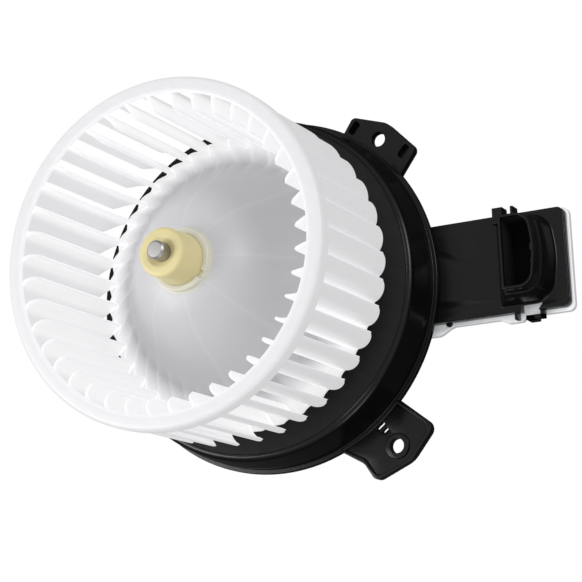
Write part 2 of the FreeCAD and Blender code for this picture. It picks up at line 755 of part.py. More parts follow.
def flange_rib():
    """Radial rib under the flange, from the cup to the wall."""
    half = RIB_THICKNESS / 2
    inner = MOTOR_CUP_RADIUS - HOUSING_WALL / 2
    outer = WALL_TOP_RADIUS - HOUSING_WALL / 2
    top = PLATEAU_Z - HOUSING_WALL / 2
    corners = [vec(inner, -half, RIB_INNER_Z), vec(outer, -half, RIB_OUTER_Z), vec(outer, -half, top),
               vec(inner, -half, top)]
    return Part.Face(Part.makePolygon(corners + corners[:1])).extrude(vec(0, RIB_THICKNESS, 0))


def bead():
    """Fine raised line that runs round the flat top."""
    middle = WALL_TOP_RADIUS - BEAD_INSET
    return turned([
        (middle - BEAD_WIDTH / 2, PLATEAU_Z - BEAD_HEIGHT),
        (middle + BEAD_WIDTH / 2, PLATEAU_Z - BEAD_HEIGHT),
        (middle + BEAD_WIDTH / 4, PLATEAU_Z + BEAD_HEIGHT),
        (middle - BEAD_WIDTH / 4, PLATEAU_Z + BEAD_HEIGHT),
    ])


def arm_screw_places():
    return [(ARM_SCREW_X, -ARM_SCREW_Y), (ARM_SCREW_X, ARM_SCREW_Y)]


def cover_screw_angles():
    return [COVER_EAR_START_DEG + 360.0 * i / COVER_EAR_COUNT for i in range(COVER_EAR_COUNT)]


def cover_screw_places():
    return [tuple(polar(COVER_EAR_REACH, a))[:2] for a in cover_screw_angles()]


def pilot_hole(place, z):
    return rod(SCREW_RADIUS, z, place)


def flange_housing():
    ears = [ear_solid(EAR_SHALLOW, True), ear_solid(EAR_DEEP, False), ear_solid(EAR_REAR, True)]
    under = PLATEAU_Z - HOUSING_WALL / 2
    arm_bosses = [rod(ARM_BOSS_RADIUS, (ARM_TOP_Z, under), p) for p in arm_screw_places()]
    cover_bosses = [rod(COVER_EAR_RADIUS, (COVER_FRONT_Z, under), p) for p in cover_screw_places()]
    ribs = around(flange_rib(), RIB_COUNT, 180.0 / RIB_COUNT)
    body = fused([flange_shell(), bead(), *ears, *arm_bosses, *cover_bosses, *ribs])
    arm_depth = ARM_TOP_Z + SCREW_LENGTH - ARM_THICKNESS - PLATE_THICKNESS + 1.0
    cover_depth = COVER_FRONT_Z + SCREW_LENGTH - COVER_EAR_THICKNESS + 1.0
    holes = [pilot_hole(p, (ARM_TOP_Z, arm_depth)) for p in arm_screw_places()]
    holes += [pilot_hole(p, (COVER_FRONT_Z, cover_depth)) for p in cover_screw_places()]
    cup = rod(MOTOR_CUP_RADIUS - HOUSING_WALL, (MOTOR_CUP_REAR_Z - 1, PLATEAU_Z + NECK_HEIGHT - HOUSING_WALL))
    lead_z = (lead_heights()[0] - PART_GAP, lead_heights()[1] + PART_GAP)
    half = LEAD_WIDTH / 2 + PART_GAP
    slots = [block((0, MOTOR_CUP_RADIUS + 1), (y - half, y + half), lead_z) for y in LEAD_Y]
    return body.cut(Part.makeCompound([*holes, *slots])).cut(cup)


def isolator(rear_z):
    """Rubber ring with two shallow grooves outside."""
    inner = CAN_RADIUS + PART_GAP / 2
    outer = MOTOR_CUP_RADIUS - HOUSING_WALL - PART_GAP / 2
    third = ISOLATOR_LENGTH / 5
    corners = [(inner, rear_z)]
    for i in range(5):
        radius = outer - (ISOLATOR_GROOVE if i % 2 else 0.0)
        corners.append((radius, rear_z + third * i))
        corners.append((radius, rear_z + third * (i + 1)))
    corners.append((inner, rear_z + ISOLATOR_LENGTH))
    return turned(corners)


def front_isolator_z():
    return PLATEAU_Z + NECK_HEIGHT - HOUSING_WALL - ISOLATOR_LENGTH - PART_GAP / 2


def motor_cover():
    """Cup over the motor's rear with vent slots, a seat for the end plate and three screw ears."""
    inner = MOTOR_CUP_RADIUS + PART_GAP
    outer = inner + COVER_WALL
    floor = COVER_REAR_Z + COVER_FLOOR
    cup = turned([
        (0.0, COVER_REAR_Z),
        (outer, COVER_REAR_Z, COVER_EDGE_ROUND),
        (outer, COVER_FRONT_Z),
        (inner, COVER_FRONT_Z),
        (inner, floor, 1.0),
        (0.0, floor),
    ])
    seat_top = CAN_REAR_Z - END_PLATE_THICKNESS - PART_GAP
    seat = tube(COVER_SEAT_RADIUS, COVER_SEAT_RADIUS - COVER_SEAT_WIDTH, (floor - 0.5, seat_top))
    ear_z = (COVER_FRONT_Z - COVER_EAR_THICKNESS, COVER_FRONT_Z)
    ear = rod(COVER_EAR_RADIUS, ear_z, (COVER_EAR_REACH, 0.0))
    web = block((outer - 1.0, COVER_EAR_REACH), (-COVER_EAR_RADIUS, COVER_EAR_RADIUS), ear_z)
    drill = rod(SCREW_RADIUS + SCREW_HOLE_GAP, (ear_z[0] - 1, ear_z[1] + 1), (COVER_EAR_REACH, 0.0))
    half = COVER_VENT_WIDTH / 2
    vent = block((COVER_VENT_START, COVER_VENT_END), (-half, half), (COVER_REAR_Z - 1, floor + 1))
    cuts = around(vent, COVER_VENT_COUNT) + around(drill, COVER_EAR_COUNT, COVER_EAR_START_DEG)
    ears = around(ear.fuse(web), COVER_EAR_COUNT, COVER_EAR_START_DEG)
    hollow = rod(inner, (floor + 2, COVER_FRONT_Z + 1)).cut(rod(COVER_SEAT_RADIUS + 1, (floor, seat_top + 1)))
    return fused([cup, seat, *ears]).cut(Part.makeCompound(cuts)).cut(hollow)


def screw(place, head_z):
    """Pan-head screw that points up, with a six-lobed recess simplified to a round one."""
    head = rod(SCREW_HEAD_RADIUS, (head_z - SCREW_HEAD_HEIGHT, head_z), place)
    rim = [e for e in head.Edges if e.BoundBox.ZMax < head_z - SCREW_HEAD_HEIGHT / 2 and e.Closed]
    head = head.makeFillet(SCREW_HEAD_HEIGHT * 0.4, rim)
    shank = rod(SCREW_RADIUS - 0.05, (head_z - 0.5, head_z + SCREW_LENGTH), place)
    recess = rod(SCREW_SOCKET_RADIUS, (head_z - SCREW_HEAD_HEIGHT - 1,
                                       head_z - SCREW_HEAD_HEIGHT + SCREW_SOCKET_DEPTH), place)
    return head.fuse(shank).cut(recess)


def cover_screws():
    head_z = COVER_FRONT_Z - COVER_EAR_THICKNESS
    return Part.makeCompound([screw(p, head_z) for p in cover_screw_places()])


def arm_screws():
    head_z = ARM_TOP_Z - ARM_THICKNESS - PLATE_THICKNESS
    return Part.makeCompound([screw(p, head_z) for p in arm_screw_places()])


# Controller arm with the plug socket

def socket_outline(grow, z):
    """D-shaped wire: flat towards the motor, gently bowed on the far side, with round far corners. The
    three values of grow are how far the near side, the far side and the ends stand off the plug's mouth."""
    near = SOCKET_NEAR_X - grow[0]
    far = SOCKET_FAR_X + grow[1]
    half = SOCKET_HALF_Y + grow[2]
    corner = SOCKET_CORNER + grow[2]
    side_x = far - SOCKET_BOW
    turn_x = side_x - corner
    turn_y = half - corner
    slant = corner * sqrt(0.5)
    lower = Part.Arc(vec(turn_x, -half, z), vec(turn_x + slant, -turn_y - slant, z), vec(side_x, -turn_y, z))
    bow = Part.Arc(vec(side_x, -turn_y, z), vec(far, 0, z), vec(side_x, turn_y, z))
    upper = Part.Arc(vec(side_x, turn_y, z), vec(turn_x + slant, turn_y + slant, z), vec(turn_x, half, z))
    sides = [
        Part.LineSegment(vec(near, -half, z), vec(turn_x, -half, z)),
        lower,
        bow,
        upper,
        Part.LineSegment(vec(turn_x, half, z), vec(near, half, z)),
        Part.LineSegment(vec(near, half, z), vec(near, -half, z)),
    ]
    return Part.Wire([s.toShape() for s in sides])


def socket_prism(grow, z):
    return Part.Face(socket_outline(grow, min(z))).extrude(vec(0, 0, max(z) - min(z)))


def socket_tower():
    """Collar with a thin rim, a step below it, drafted walls and a skirt that spreads out over the arm."""
    rim = socket_prism(SOCKET_RIM_GROW, (SOCKET_STEP_Z - 0.5, SOCKET_RIM_Z))
    walls = Part.makeLoft([
        socket_outline(SOCKET_BASE_GROW, ARM_TOP_Z),
        socket_outline(SOCKET_SKIRT_GROW, ARM_TOP_Z + SOCKET_SKIRT_HEIGHT),
        socket_outline(SOCKET_STEP_GROW, SOCKET_STEP_Z),
    ], True, True)
    root = socket_prism(SOCKET_SKIRT_GROW, (ARM_TOP_Z - ARM_ROOF, ARM_TOP_Z + 0.5))
    return fused([rim, walls, root])


def arm_slab(z):
    """Slab of the arm, with a slanted notch in its side under the socket."""
    low, high = ARM_SIDE_Y
    corner = ARM_CORNER_ROUND
    slab = plate([
        (ARM_START_X, low), (ARM_END_X, low, corner), (ARM_END_X, high, corner), (ARM_START_X, high),
    ], z)
    start, end = ARM_NOTCH_X
    inner = low + ARM_NOTCH_DEPTH
    notch = plate([(start, low - 1), (end - ARM_NOTCH_LEAN, low - 1), (end, inner, 1.0), (start, inner, 1.0)],
                  (min(z) - 1, max(z) + 1))
    return slab.cut(notch)


def coding_marks():
    """Tab and thin rib beside the socket that the plug is keyed by."""
    inner_y = SOCKET_HALF_Y + SOCKET_STEP_GROW[2]
    z = (ARM_TOP_Z - ARM_ROOF, CODING_TOP_Z)
    return [block((start, end), (inner_y, reach), z) for start, end, reach in (CODING_TAB, CODING_RIB)]


def snap_arm():
    """Springy arm that lies along the plate's edge and hooks under it, with a fin beside it."""
    low = ARM_SIDE_Y[0]
    inner = PLATE_SIDE_Y[0] - PART_GAP
    outer = inner - CLIP_THICK
    under = ARM_TOP_Z - ARM_THICKNESS - PLATE_THICKNESS - PART_GAP
    upper_z = (ARM_TOP_Z - ARM_THICKNESS + PART_GAP, CLIP_TOP_Z)
    start, end = CLIP_X
    hook_x = (start, start + CLIP_HOOK_LENGTH)
    return [
        block((start, end), (outer, inner), upper_z),
        block((end - CLIP_ROOT_LENGTH, end), (outer, low + 1.0), upper_z),
        block(hook_x, (outer, inner), (under - CLIP_HOOK_HEIGHT, CLIP_TOP_Z)),
        block(hook_x, (outer, inner + CLIP_THICK), (under - CLIP_HOOK_HEIGHT, under)),
        block(CLIP_FIN_X, (CLIP_FIN_Y, low + 1.0), (ARM_TOP_Z - ARM_THICKNESS + PART_GAP, ARM_TOP_Z)),
    ]


def pin_places():
    middle = (PIN_COUNT - 1) / 2
    return [(PIN_X, PIN_PITCH * (i - middle)) for i in range(PIN_COUNT)]


def controller_housing():
    bottom = ARM_TOP_Z - ARM_THICKNESS
    peg = rod(PEG_RADIUS, (PEG_END_Z, ARM_TOP_Z), PEG_AT)
    body = fused([arm_slab((bottom, ARM_TOP_Z)), socket_tower(), *coding_marks(), *snap_arm(), peg])
    mouth = socket_prism((0.0, 0.0, 0.0), (SOCKET_FLOOR_Z, SOCKET_RIM_Z + 1))
    low, high = ARM_SIDE_Y
    notch_wall = low + ARM_NOTCH_DEPTH + ARM_WALL
    pocket = block(ARM_POCKET_X, (low + ARM_WALL, high - ARM_WALL), (bottom - 1, ARM_TOP_Z - ARM_ROOF))
    pocket = pocket.cut(block((ARM_NOTCH_X[0] - ARM_WALL, ARM_NOTCH_X[1] + ARM_WALL), (low, notch_wall), (bottom - 1, 0)))
    peg_root = rod(PEG_RADIUS + ARM_WALL, (bottom, ARM_TOP_Z), PEG_AT)
    slots = []
    for x, y in pin_places():
        slots.append(block((x - PIN_THICKNESS, x + PIN_THICKNESS), (y - PIN_WIDTH / 2 - 0.1, y + PIN_WIDTH / 2 + 0.1),
                           (bottom, SOCKET_FLOOR_Z + 1)))
    drills = [rod(SCREW_RADIUS + SCREW_HOLE_GAP, (bottom - 1, ARM_TOP_Z + 1), p) for p in arm_screw_places()]
    leads = [block((ARM_START_X - 1, ARM_POCKET_X[0] + 1), (y - LEAD_WIDTH / 2 - 0.2, y + LEAD_WIDTH / 2 + 0.2),
                   (bottom - 1, lead_heights()[1] + 0.2)) for y in LEAD_Y]
    return body.cut(Part.makeCompound([mouth, pocket.cut(peg_root), *slots, *drills, *leads]))


def board_heights():
    bottom = ARM_TOP_Z - ARM_THICKNESS + 0.6
    return bottom, bottom + BOARD_THICKNESS


def control_board():
    x, y = BOARD_X, BOARD_Y
    body = plate([(x[0], y[0], 1.5), (x[1], y[0], 1.5), (x[1], y[1], 1.5), (x[0], y[1], 1.5)], board_heights())
    dx, dy, _ = TRANSISTOR_SIZE
    tx, ty = TRANSISTOR_AT
    margin = 1.0
    window = block((tx - dx / 2 - margin, tx + dx / 2 + margin), (ty - dy / 2 - margin, ty + dy / 2 + margin),
                   (-20, 0))
    return body.cut(window)


def power_transistor():
    dx, dy, dz = TRANSISTOR_SIZE
    tx, ty = TRANSISTOR_AT
    base = ARM_TOP_Z - ARM_THICKNESS
    return block((tx - dx / 2, tx + dx / 2), (ty - dy / 2, ty + dy / 2), (base, base + dz))


def connector_pins():
    """Flat terminals that stand in the socket and run back to the board."""
    top = board_heights()[1] + PART_GAP
    pins = []
    for x, y in pin_places():
        side = (y - PIN_WIDTH / 2, y + PIN_WIDTH / 2)
        blade = block((x - PIN_THICKNESS / 2, x + PIN_THICKNESS / 2), side, (top, PIN_TIP_Z))
        tail = block((x - PIN_TAIL - PIN_THICKNESS / 2, x), side, (top, top + PIN_THICKNESS))
        pins.append(blade.fuse(tail).removeSplitter())
    return Part.makeCompound(pins)


def lead_heights():
    bottom = board_heights()[1] + PART_GAP
    return bottom, bottom + LEAD_THICKNESS


def motor_leads():
    """Two copper strips from the board to slots in the motor cup."""
    leads = []
    bottom, top = lead_heights()
    for y in LEAD_Y:
        start = MOTOR_CUP_RADIUS - LEAD_INTO_CUP
        leads.append(block((start, BOARD_X[0] + 3), (y - LEAD_WIDTH / 2, y + LEAD_WIDTH / 2), (bottom, top)))
    return Part.makeCompound(leads)


def heat_sink():
    """Light alloy plate with a wide foot under the flange and straight fins on its rear side."""
    top = ARM_TOP_Z - ARM_THICKNESS
    bottom = top - PLATE_THICKNESS
    low, high = PLATE_SIDE_Y
    flare = PLATE_FLARE_Y
    body = plate([
        (PLATE_START_X, -flare, 4.0),
        (PLATE_FLARE_X - 2.0, -flare, 4.0),
        (PLATE_FLARE_X + 4.0, low, 3.0),
        (PLATE_LOBE_X[0], low, 2.0),
        (PLATE_LOBE_X[0] + 4.0, PLATE_LOBE_Y, 3.0),
        (PLATE_LOBE_X[1] - 2.0, PLATE_LOBE_Y, 1.5),
        (PLATE_LOBE_X[1], low, 0.5),
        (PLATE_END_X, low, 3.0),
        (PLATE_END_X, high, 3.0),
        (PLATE_FLARE_X + 4.0, high, 3.0),
        (PLATE_FLARE_X - 2.0, flare, 4.0),
        (PLATE_START_X, flare, 4.0),
    ], (bottom, top))
    first = (low + high) / 2 - FIN_PITCH * (FIN_COUNT - 1) / 2
    fins = []
    for i in range(FIN_COUNT):
        y = first + FIN_PITCH * i
        fins.append(block(FIN_X, (y - FIN_THICKNESS / 2, y + FIN_THICKNESS / 2), (bottom - FIN_HEIGHT, bottom + 0.5)))
    drills = [rod(SCREW_RADIUS + SCREW_HOLE_GAP, (bottom - 1, top + 1), p) for p in arm_screw_places()]
    drills.append(rod(PEG_RADIUS + PEG_GAP, (bottom - 1, top + 1), PEG_AT))
    return fused([body, *fins]).cut(Part.makeCompound(drills))


def main():
    os.makedirs("parts", exist_ok=True)
    front_bearing_z, rear_bearing_z = bearing_heights()
    bush = hub_bush()
    nodes = {
        "fan_wheel": fan_wheel(bush),
        "hub_bush": bush,
        "motor_shaft": motor_shaft(),
        "shaft_clip": shaft_clip(),
        "armature_core": armature_core(),
        "armature_winding": armature_winding(),
        "commutator": commutator(),
        "brush_a": brush(0.0),
        "brush_b": brush(180.0),
        "brush_spring_a": brush_spring(0.0),
        "brush_spring_b": brush_spring(180.0),
        "brush_card": brush_card(),
        "motor_can": motor_can(),
        "end_plate": end_plate(),
        "front_bearing": bearing(front_bearing_z),
        "rear_bearing": bearing(rear_bearing_z),
        "front_retainer": bearing_retainer(front_bearing_z, 1),
        "rear_retainer": bearing_retainer(rear_bearing_z, -1),
        "field_magnets": field_magnets(),
        "magnet_springs": magnet_springs(),
        "front_isolator": isolator(front_isolator_z()),
        "rear_isolator": isolator(ISOLATOR_REAR_Z),
        "flange_housing": flange_housing(),
        "motor_cover": motor_cover(),
        "cover_screws": cover_screws(),
        "controller_housing": controller_housing(),
        "heat_sink": heat_sink(),
        "arm_screws": arm_screws(),
        "control_board": control_board(),
        "power_transistor": power_transistor(),
        "connector_pins": connector_pins(),
        "motor_leads": motor_leads(),
    }
    for name, shape in nodes.items():
        shape.exportStep(os.path.join("parts", name + ".step"))
        print(name, len(shape.Solids), "solids", round(shape.Volume), "mm3", shape.isValid())


main()
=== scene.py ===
import json

import bpy
import bmesh
import numpy as np
from mathutils import Matrix, Vector


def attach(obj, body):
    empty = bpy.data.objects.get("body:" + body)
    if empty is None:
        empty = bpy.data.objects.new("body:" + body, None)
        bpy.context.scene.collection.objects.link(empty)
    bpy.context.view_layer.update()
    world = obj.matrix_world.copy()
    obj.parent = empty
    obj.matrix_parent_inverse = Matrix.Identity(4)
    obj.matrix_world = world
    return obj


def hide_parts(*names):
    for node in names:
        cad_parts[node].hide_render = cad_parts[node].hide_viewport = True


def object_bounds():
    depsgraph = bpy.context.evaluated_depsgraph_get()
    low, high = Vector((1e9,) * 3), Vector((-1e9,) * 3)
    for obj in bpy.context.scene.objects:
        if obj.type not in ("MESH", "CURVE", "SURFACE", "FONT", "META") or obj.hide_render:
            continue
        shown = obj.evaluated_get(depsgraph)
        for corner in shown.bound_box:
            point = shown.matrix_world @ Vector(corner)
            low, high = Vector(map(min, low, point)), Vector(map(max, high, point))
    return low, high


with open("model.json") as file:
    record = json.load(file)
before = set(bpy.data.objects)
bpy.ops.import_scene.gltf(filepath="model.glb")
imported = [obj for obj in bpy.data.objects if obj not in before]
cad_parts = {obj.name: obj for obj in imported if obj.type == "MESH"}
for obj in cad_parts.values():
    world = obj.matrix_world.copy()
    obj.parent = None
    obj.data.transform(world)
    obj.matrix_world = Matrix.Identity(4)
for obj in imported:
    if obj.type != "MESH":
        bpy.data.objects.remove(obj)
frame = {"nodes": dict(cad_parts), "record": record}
cad_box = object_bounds()

# Sizes, in millimetres as in the solids. z runs along the shaft, and nought is the flange's lip.

MM = 0.001
ROUND_STEPS = 288
BUSH_STEPS = 160
SHAFT_STEPS = 96
POST_STEPS = 40
HOLE_STEPS = 32
MERGE_DISTANCE = 2e-6
SHORTEST_EDGE = 1e-7
SHARP_EDGE_DEG = 38.0
EDGE_RINGS = 2

WHEEL_RADIUS = 75.0
WHEEL_TOP_Z = 102.7
BLADE_TIP_Z = 32.5
BLADE_COUNT = 40
FIRST_BLADE_DEG = 1.2
RING_HEIGHT = 7.1
RING_WALL = 2.4
RING_EAVE_RADIUS = 68.0
RING_EAVE_THICK = 1.5
BLADE_OUTER = 73.2
BLADE_INNER_RADIUS = 61.0
BLADE_RIM_INNER_RADIUS = 62.5
BLADE_TIP_ROUND = 7.0
BLADE_RIM_ROUND = 4.5
BLADE_MIDDLE_RADIUS = 69.2
BLADE_MIDDLE_SWEEP_DEG = 5.9
BLADE_INNER_SWEEP_DEG = 8.2
BLADE_THICKNESS = 1.9
BLADE_EDGE_THICKNESS = 1.3
BLADE_END_OVERLAP = 0.2
BLADE_STEPS = (25, 22)
BLADE_POWERS = (12, 40)
BLADE_BORDER_FALL = 0.25
BLADE_BELOW_TOP = 0.15
BLADE_RIM_RUN = 1.2
BLADE_EAVE_RUN = (1.5, 2.0)
DISC_WALL = 2.2
DISC_INTO_BLADES = 1.2
DISC_RIM_Z = 37.0
DISC_SKIRT = (67.1, 33.9)
DISC_TOP = (12.6, 83.0)
DISC_THINNING = 0.5
DISC_STEPS = 30
DISC_SKIRT_STEPS = 6
PETAL_START_RADIUS = 47.0
PETAL_FULL_RADIUS = 54.0
PETAL_DEPTH = 3.2
PETAL_STEPS = 480
PETAL_CREASE_ROUND = 0.03
DISC_SHOULDER = (44.0, 52.0)
DISC_CROWN = (23.0, 78.6)
DISC_RIB_COUNT = 8
DISC_RIB_THICKNESS = 1.4
DISC_RIB_DEPTH = 3.5
DISC_RIB_ROOT = 0.6
DISC_RIB_END_RADIUS = 40.0
DISC_RIB_STEPS = 24
COLLAR_RADIUS = 13.6
COLLAR_TOP_Z = 85.5
COLLAR_NOTCH_WIDTH = 4.0
COLLAR_NOTCH_DEPTH = 1.6
COLLAR_NOTCH_DEG = -38.0
COLLAR_NOTCH_REACH = 3.0
COLLAR_NOTCH_FLANK_DEG = 1.0
COLLAR_GAP = 0.1

BUSH_RADIUS = 11.2
BUSH_FRONT_RADIUS = 10.6
BUSH_FRONT_Z = 101.0
BUSH_BACK_Z = 70.0
BUSH_SHOULDER_Z = 84.0
BUSH_RECESS_RADIUS = 6.6
BUSH_RECESS_DEPTH = 1.2
BUSH_EDGE_ROUND = 1.6
SHAFT_RADIUS = 4.0
SHAFT_FRONT_Z = 106.0
SHAFT_REAR_Z = -36.4
SHAFT_BEVEL = 0.8
SHAFT_POLE = 0.02

LIP_RADIUS = 81.488
LIP_THICKNESS = 3.0
SPIGOT_RADIUS = 79.5
SPIGOT_HEIGHT = 6.0
WALL_TOP_RADIUS = 77.8
PLATEAU_Z = 20.0
SHOULDER_ROUND = 3.0
BEAD_RADIUS = 75.4
BEAD_HEIGHT = 0.5
BEAD_WIDTH = 0.9
HOUSING_WALL = 2.5
MOTOR_CUP_RADIUS = 37.8
MOTOR_CUP_REAR_Z = -26.0
NECK_HEIGHT = 3.5
NECK_LEDGE = 2.6
RIB_COUNT = 18
RIB_THICKNESS = 1.8
RIB_INNER_Z = -8.0
RIB_OUTER_Z = 3.0

EAR_THICKNESS = 4.0
EAR_ROOT_DEPTH = 1.0
EAR_OVERLAP = 0.6
EAR_EDGE = 0.3
EAR_HOLE_RADIUS = 3.3
EAR_BOSS_WALL = 2.4
EAR_EDGE_RIM = 1.6
EAR_DISH_DEPTH = 1.0
# An ear: its hole's distance from the shaft axis, its angle in degrees, the two ends of its foot along
# the lip, and its corners and recesses, measured from the hole. A corner's third value is its radius.
EAR_SHALLOW = {
    "hole": 86.3, "at": 49.2, "foot": (-19.6, 16.4),
    "corners": [(6.4, -18.6, 3.0), (8.4, 1.0, 9.0), (1.6, 17.4, 2.5)],
    "recesses": ((-2.0, 13.6), (2.0, -14.0)),
}
EAR_DEEP = {
    "hole": 94.7, "at": -52.3, "foot": (-21.6, 13.6),
    "corners": [(-4.6, -16.6, 5.0), (5.2, -17.6, 3.5), (9.9, 1.0, 12.0), (5.8, 18.6, 4.0)],
}
EAR_REAR = {
    "hole": 88.0, "at": 200.0, "foot": (-17.6, 17.6),
    "corners": [(3.4, -17.2, 3.0), (8.2, 0.0, 9.0), (3.4, 17.2, 3.0)],
    "recesses": ((-2.0, 13.6), (-1.2, -14.0)),
}
EAR_RECESS_WIDTH = 3.2
EAR_RECESS_LENGTH = 6.2
EAR_RECESS_FLOOR = 1.0
EAR_RECESS_CORNER = 0.9
EAR_RECESS_OVERLAP = 0.1
EAR_RECESS_EDGES = (0.2, 0.35)
EAR_SLOT_WIDTH = 1.6
EAR_SLOT_CORNER = 0.5
EAR_SLOTS = ((-12.4, -0.2, 4.5), (-9.4, 0.2, 3.0))

COVER_FRONT_Z = -13.0
COVER_EAR_REACH = 45.5
COVER_EAR_RADIUS = 4.6
COVER_EAR_COUNT = 3
COVER_EAR_START_DEG = 70.0
ARM_SCREW_PLACES = ((70.0, -14.0), (70.0, 14.0))
ARM_BOSS_RADIUS = 4.0
SCREW_RADIUS = 1.6
SCREW_HOLE_GAP = 0.25

ARM_TOP_Z = -3.0
ARM_THICKNESS = 5.0
ARM_START_X = 64.0
ARM_END_X = 140.0
ARM_SIDE_Y = (-22.5, 21.4)
ARM_CORNER_ROUND = 3.0
ARM_ROOF = 1.7
ARM_WALL = 2.0
ARM_POCKET_X = (84.0, 137.0)
ARM_NOTCH_X = (118.0, 129.0)
ARM_NOTCH_DEPTH = 4.0
ARM_NOTCH_LEAN = 3.0
ARM_INNER_CORNER = 1.0
ARM_TOP_EDGE = 0.4
ARM_SIDE_EDGE = 0.3
ARM_FINE_EDGE = 0.25
JOIN_DEPTH = 0.5
SIDE_JOIN_DEPTH = 1.0
SOCKET_NEAR_X = 118.1
SOCKET_FAR_X = 131.0
SOCKET_HALF_Y = 15.1
SOCKET_BOW = 0.9
SOCKET_CORNER = 5.6
SOCKET_RIM_Z = 16.0
SOCKET_STEP_Z = 10.0
SOCKET_FLOOR_Z = -1.0
SOCKET_RIM_GROW = (1.3, 1.3, 1.3)
SOCKET_STEP_GROW = (2.3, 2.8, 2.5)
SOCKET_SKIRT_GROW = (8.0, 4.3, 4.0)
SOCKET_BASE_GROW = (9.0, 5.6, 5.0)
SOCKET_SKIRT_HEIGHT = 1.5
SOCKET_MOUTH = (0.0, 0.0, 0.0)
SOCKET_FLOOR_GROW = (-0.4, -0.4, -0.4)
SOCKET_RIM_DEPTH = 2.0
SOCKET_FOOT_DEPTH = 0.3
SOCKET_FLOOR_ROUND = 0.4
SOCKET_RIM_ARC = ((1.0, -0.45), (0.88, -0.12), (0.65, 0.0), (0.35, 0.0), (0.12, -0.12), (0.0, -0.45))
SOCKET_SKIRT_SHARES = (0.2, 0.45, 0.75, 1.0)
SOCKET_WALL_SHARES = (0.5, 0.97)
SOCKET_STEP_SHARES = ((0.12, -0.05), (0.3, 0.0), (0.85, 0.0), (1.0, 0.25))
SOCKET_CORNER_STEPS = 11
SOCKET_BOW_STEPS = 11
SOCKET_SIDE_STEPS = 5
SOCKET_NEAR_STEPS = 12
SOCKET_NEAR_BEVEL = 0.5
CODING_TAB = (109.4, 114.1, 23.8)
CODING_RIB = (117.8, 119.0, 23.6)
CODING_TOP_Z = 2.0
CLIP_X = (119.6, 128.0)
CLIP_HOOK_LENGTH = 4.2
CLIP_ROOT_LENGTH = 1.8
CLIP_THICK = 1.9
CLIP_TOP_Z = -4.5
CLIP_HOOK_HEIGHT = 1.2
CLIP_FIN_X = (115.0, 116.3)
CLIP_FIN_Y = -25.6
PART_GAP = 0.2
PEG_BORE = 0.05

PLATE_THICKNESS = 3.0
PLATE_EDGE = 0.4
PLATE_START_X = 62.0
PLATE_END_X = 141.0
PLATE_SIDE_Y = (-24.0, 22.0)
PLATE_FLARE_Y = -27.4
PLATE_FLARE_X = (78.0, 84.0)
PLATE_LOBE_X = (106.5, 118.8)
PLATE_LOBE_Y = -26.0
PLATE_LOBE_LEANS = (4.0, 2.0)
PEG_RADIUS = 1.4
PEG_AT = (82.6, -22.4)
PEG_END_Z = -13.4
PEG_GAP = 0.2
FIN_COUNT = 8
FIN_PITCH = 5.0
FIN_THICKNESS = 1.6
FIN_HEIGHT = 7.0
FIN_EDGE = 0.3
FIN_X = (86.0, 132.0)


# Mesh helpers

def polar(radius, angle_deg):
    """Point at a radius and an angle from the x axis."""
    angle = np.radians(angle_deg)
    return np.array([radius * np.cos(angle), radius * np.sin(angle)])


def grid_faces(rows, columns, wrap_rows=False, wrap_columns=False):
    """Quads of a grid of points: each joins a point to its neighbours in the next row and column."""
    r = np.arange(rows if wrap_rows else rows - 1)
    c = np.arange(columns if wrap_columns else columns - 1)
    r, c = np.meshgrid(r, c, indexing="ij")
    r2, c2 = (r + 1) % rows, (c + 1) % columns
    quads = np.stack([r * columns + c, r * columns + c2, r2 * columns + c2, r2 * columns + c], axis=-1)
    return quads.reshape(-1, 4)


def joined(parts):
    """One list of points and one of faces from several."""
    points, faces, offset = [], [], 0
    for part_points, part_faces in parts:
        points.append(np.asarray(part_points, float).reshape(-1, 3))
        faces.extend((np.asarray(f) + offset).tolist() for f in part_faces)
        offset += len(points[-1])
    return np.concatenate(points), faces


def piece(name, parts, body, slot, nodes):
    """Mesh object from point and face arrays in millimetres, closed, with outward faces, in the material
    of its slot."""
    points, faces = joined(parts)
    mesh = bpy.data.meshes.new(name)
    mesh.from_pydata((points * MM).tolist(), [], faces)
    work = bmesh.new()
    work.from_mesh(mesh)
    bmesh.ops.remove_doubles(work, verts=work.verts, dist=MERGE_DISTANCE)
    bmesh.ops.dissolve_degenerate(work, edges=work.edges, dist=SHORTEST_EDGE)
    bmesh.ops.recalc_face_normals(work, faces=work.faces)
    work.to_mesh(mesh)
    work.free()
    mesh.shade_smooth()
    mesh.set_sharp_from_angle(angle=np.radians(SHARP_EDGE_DEG))
    obj = bpy.data.objects.new(name, mesh)
    bpy.context.collection.objects.link(obj)
    mesh.materials.append(SLOT_MATERIALS[slot])
    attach(obj, body)
    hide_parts(*nodes)


def turned(loop, segments=ROUND_STEPS):
    """Surface of revolution about the shaft axis: each (radius, z) point of the closed loop is carried
    round a circle, x = radius cos a and y = radius sin a."""
    loop = np.asarray(loop, float)
    angle = np.linspace(0, 2 * np.pi, segments, endpoint=False)[:, None]
    x = loop[None, :, 0] * np.cos(angle)
    y = loop[None, :, 0] * np.sin(angle)
    z = np.broadcast_to(loop[None, :, 1], x.shape)
    return np.stack([x, y, z], axis=-1), grid_faces(segments, len(loop), True, True)


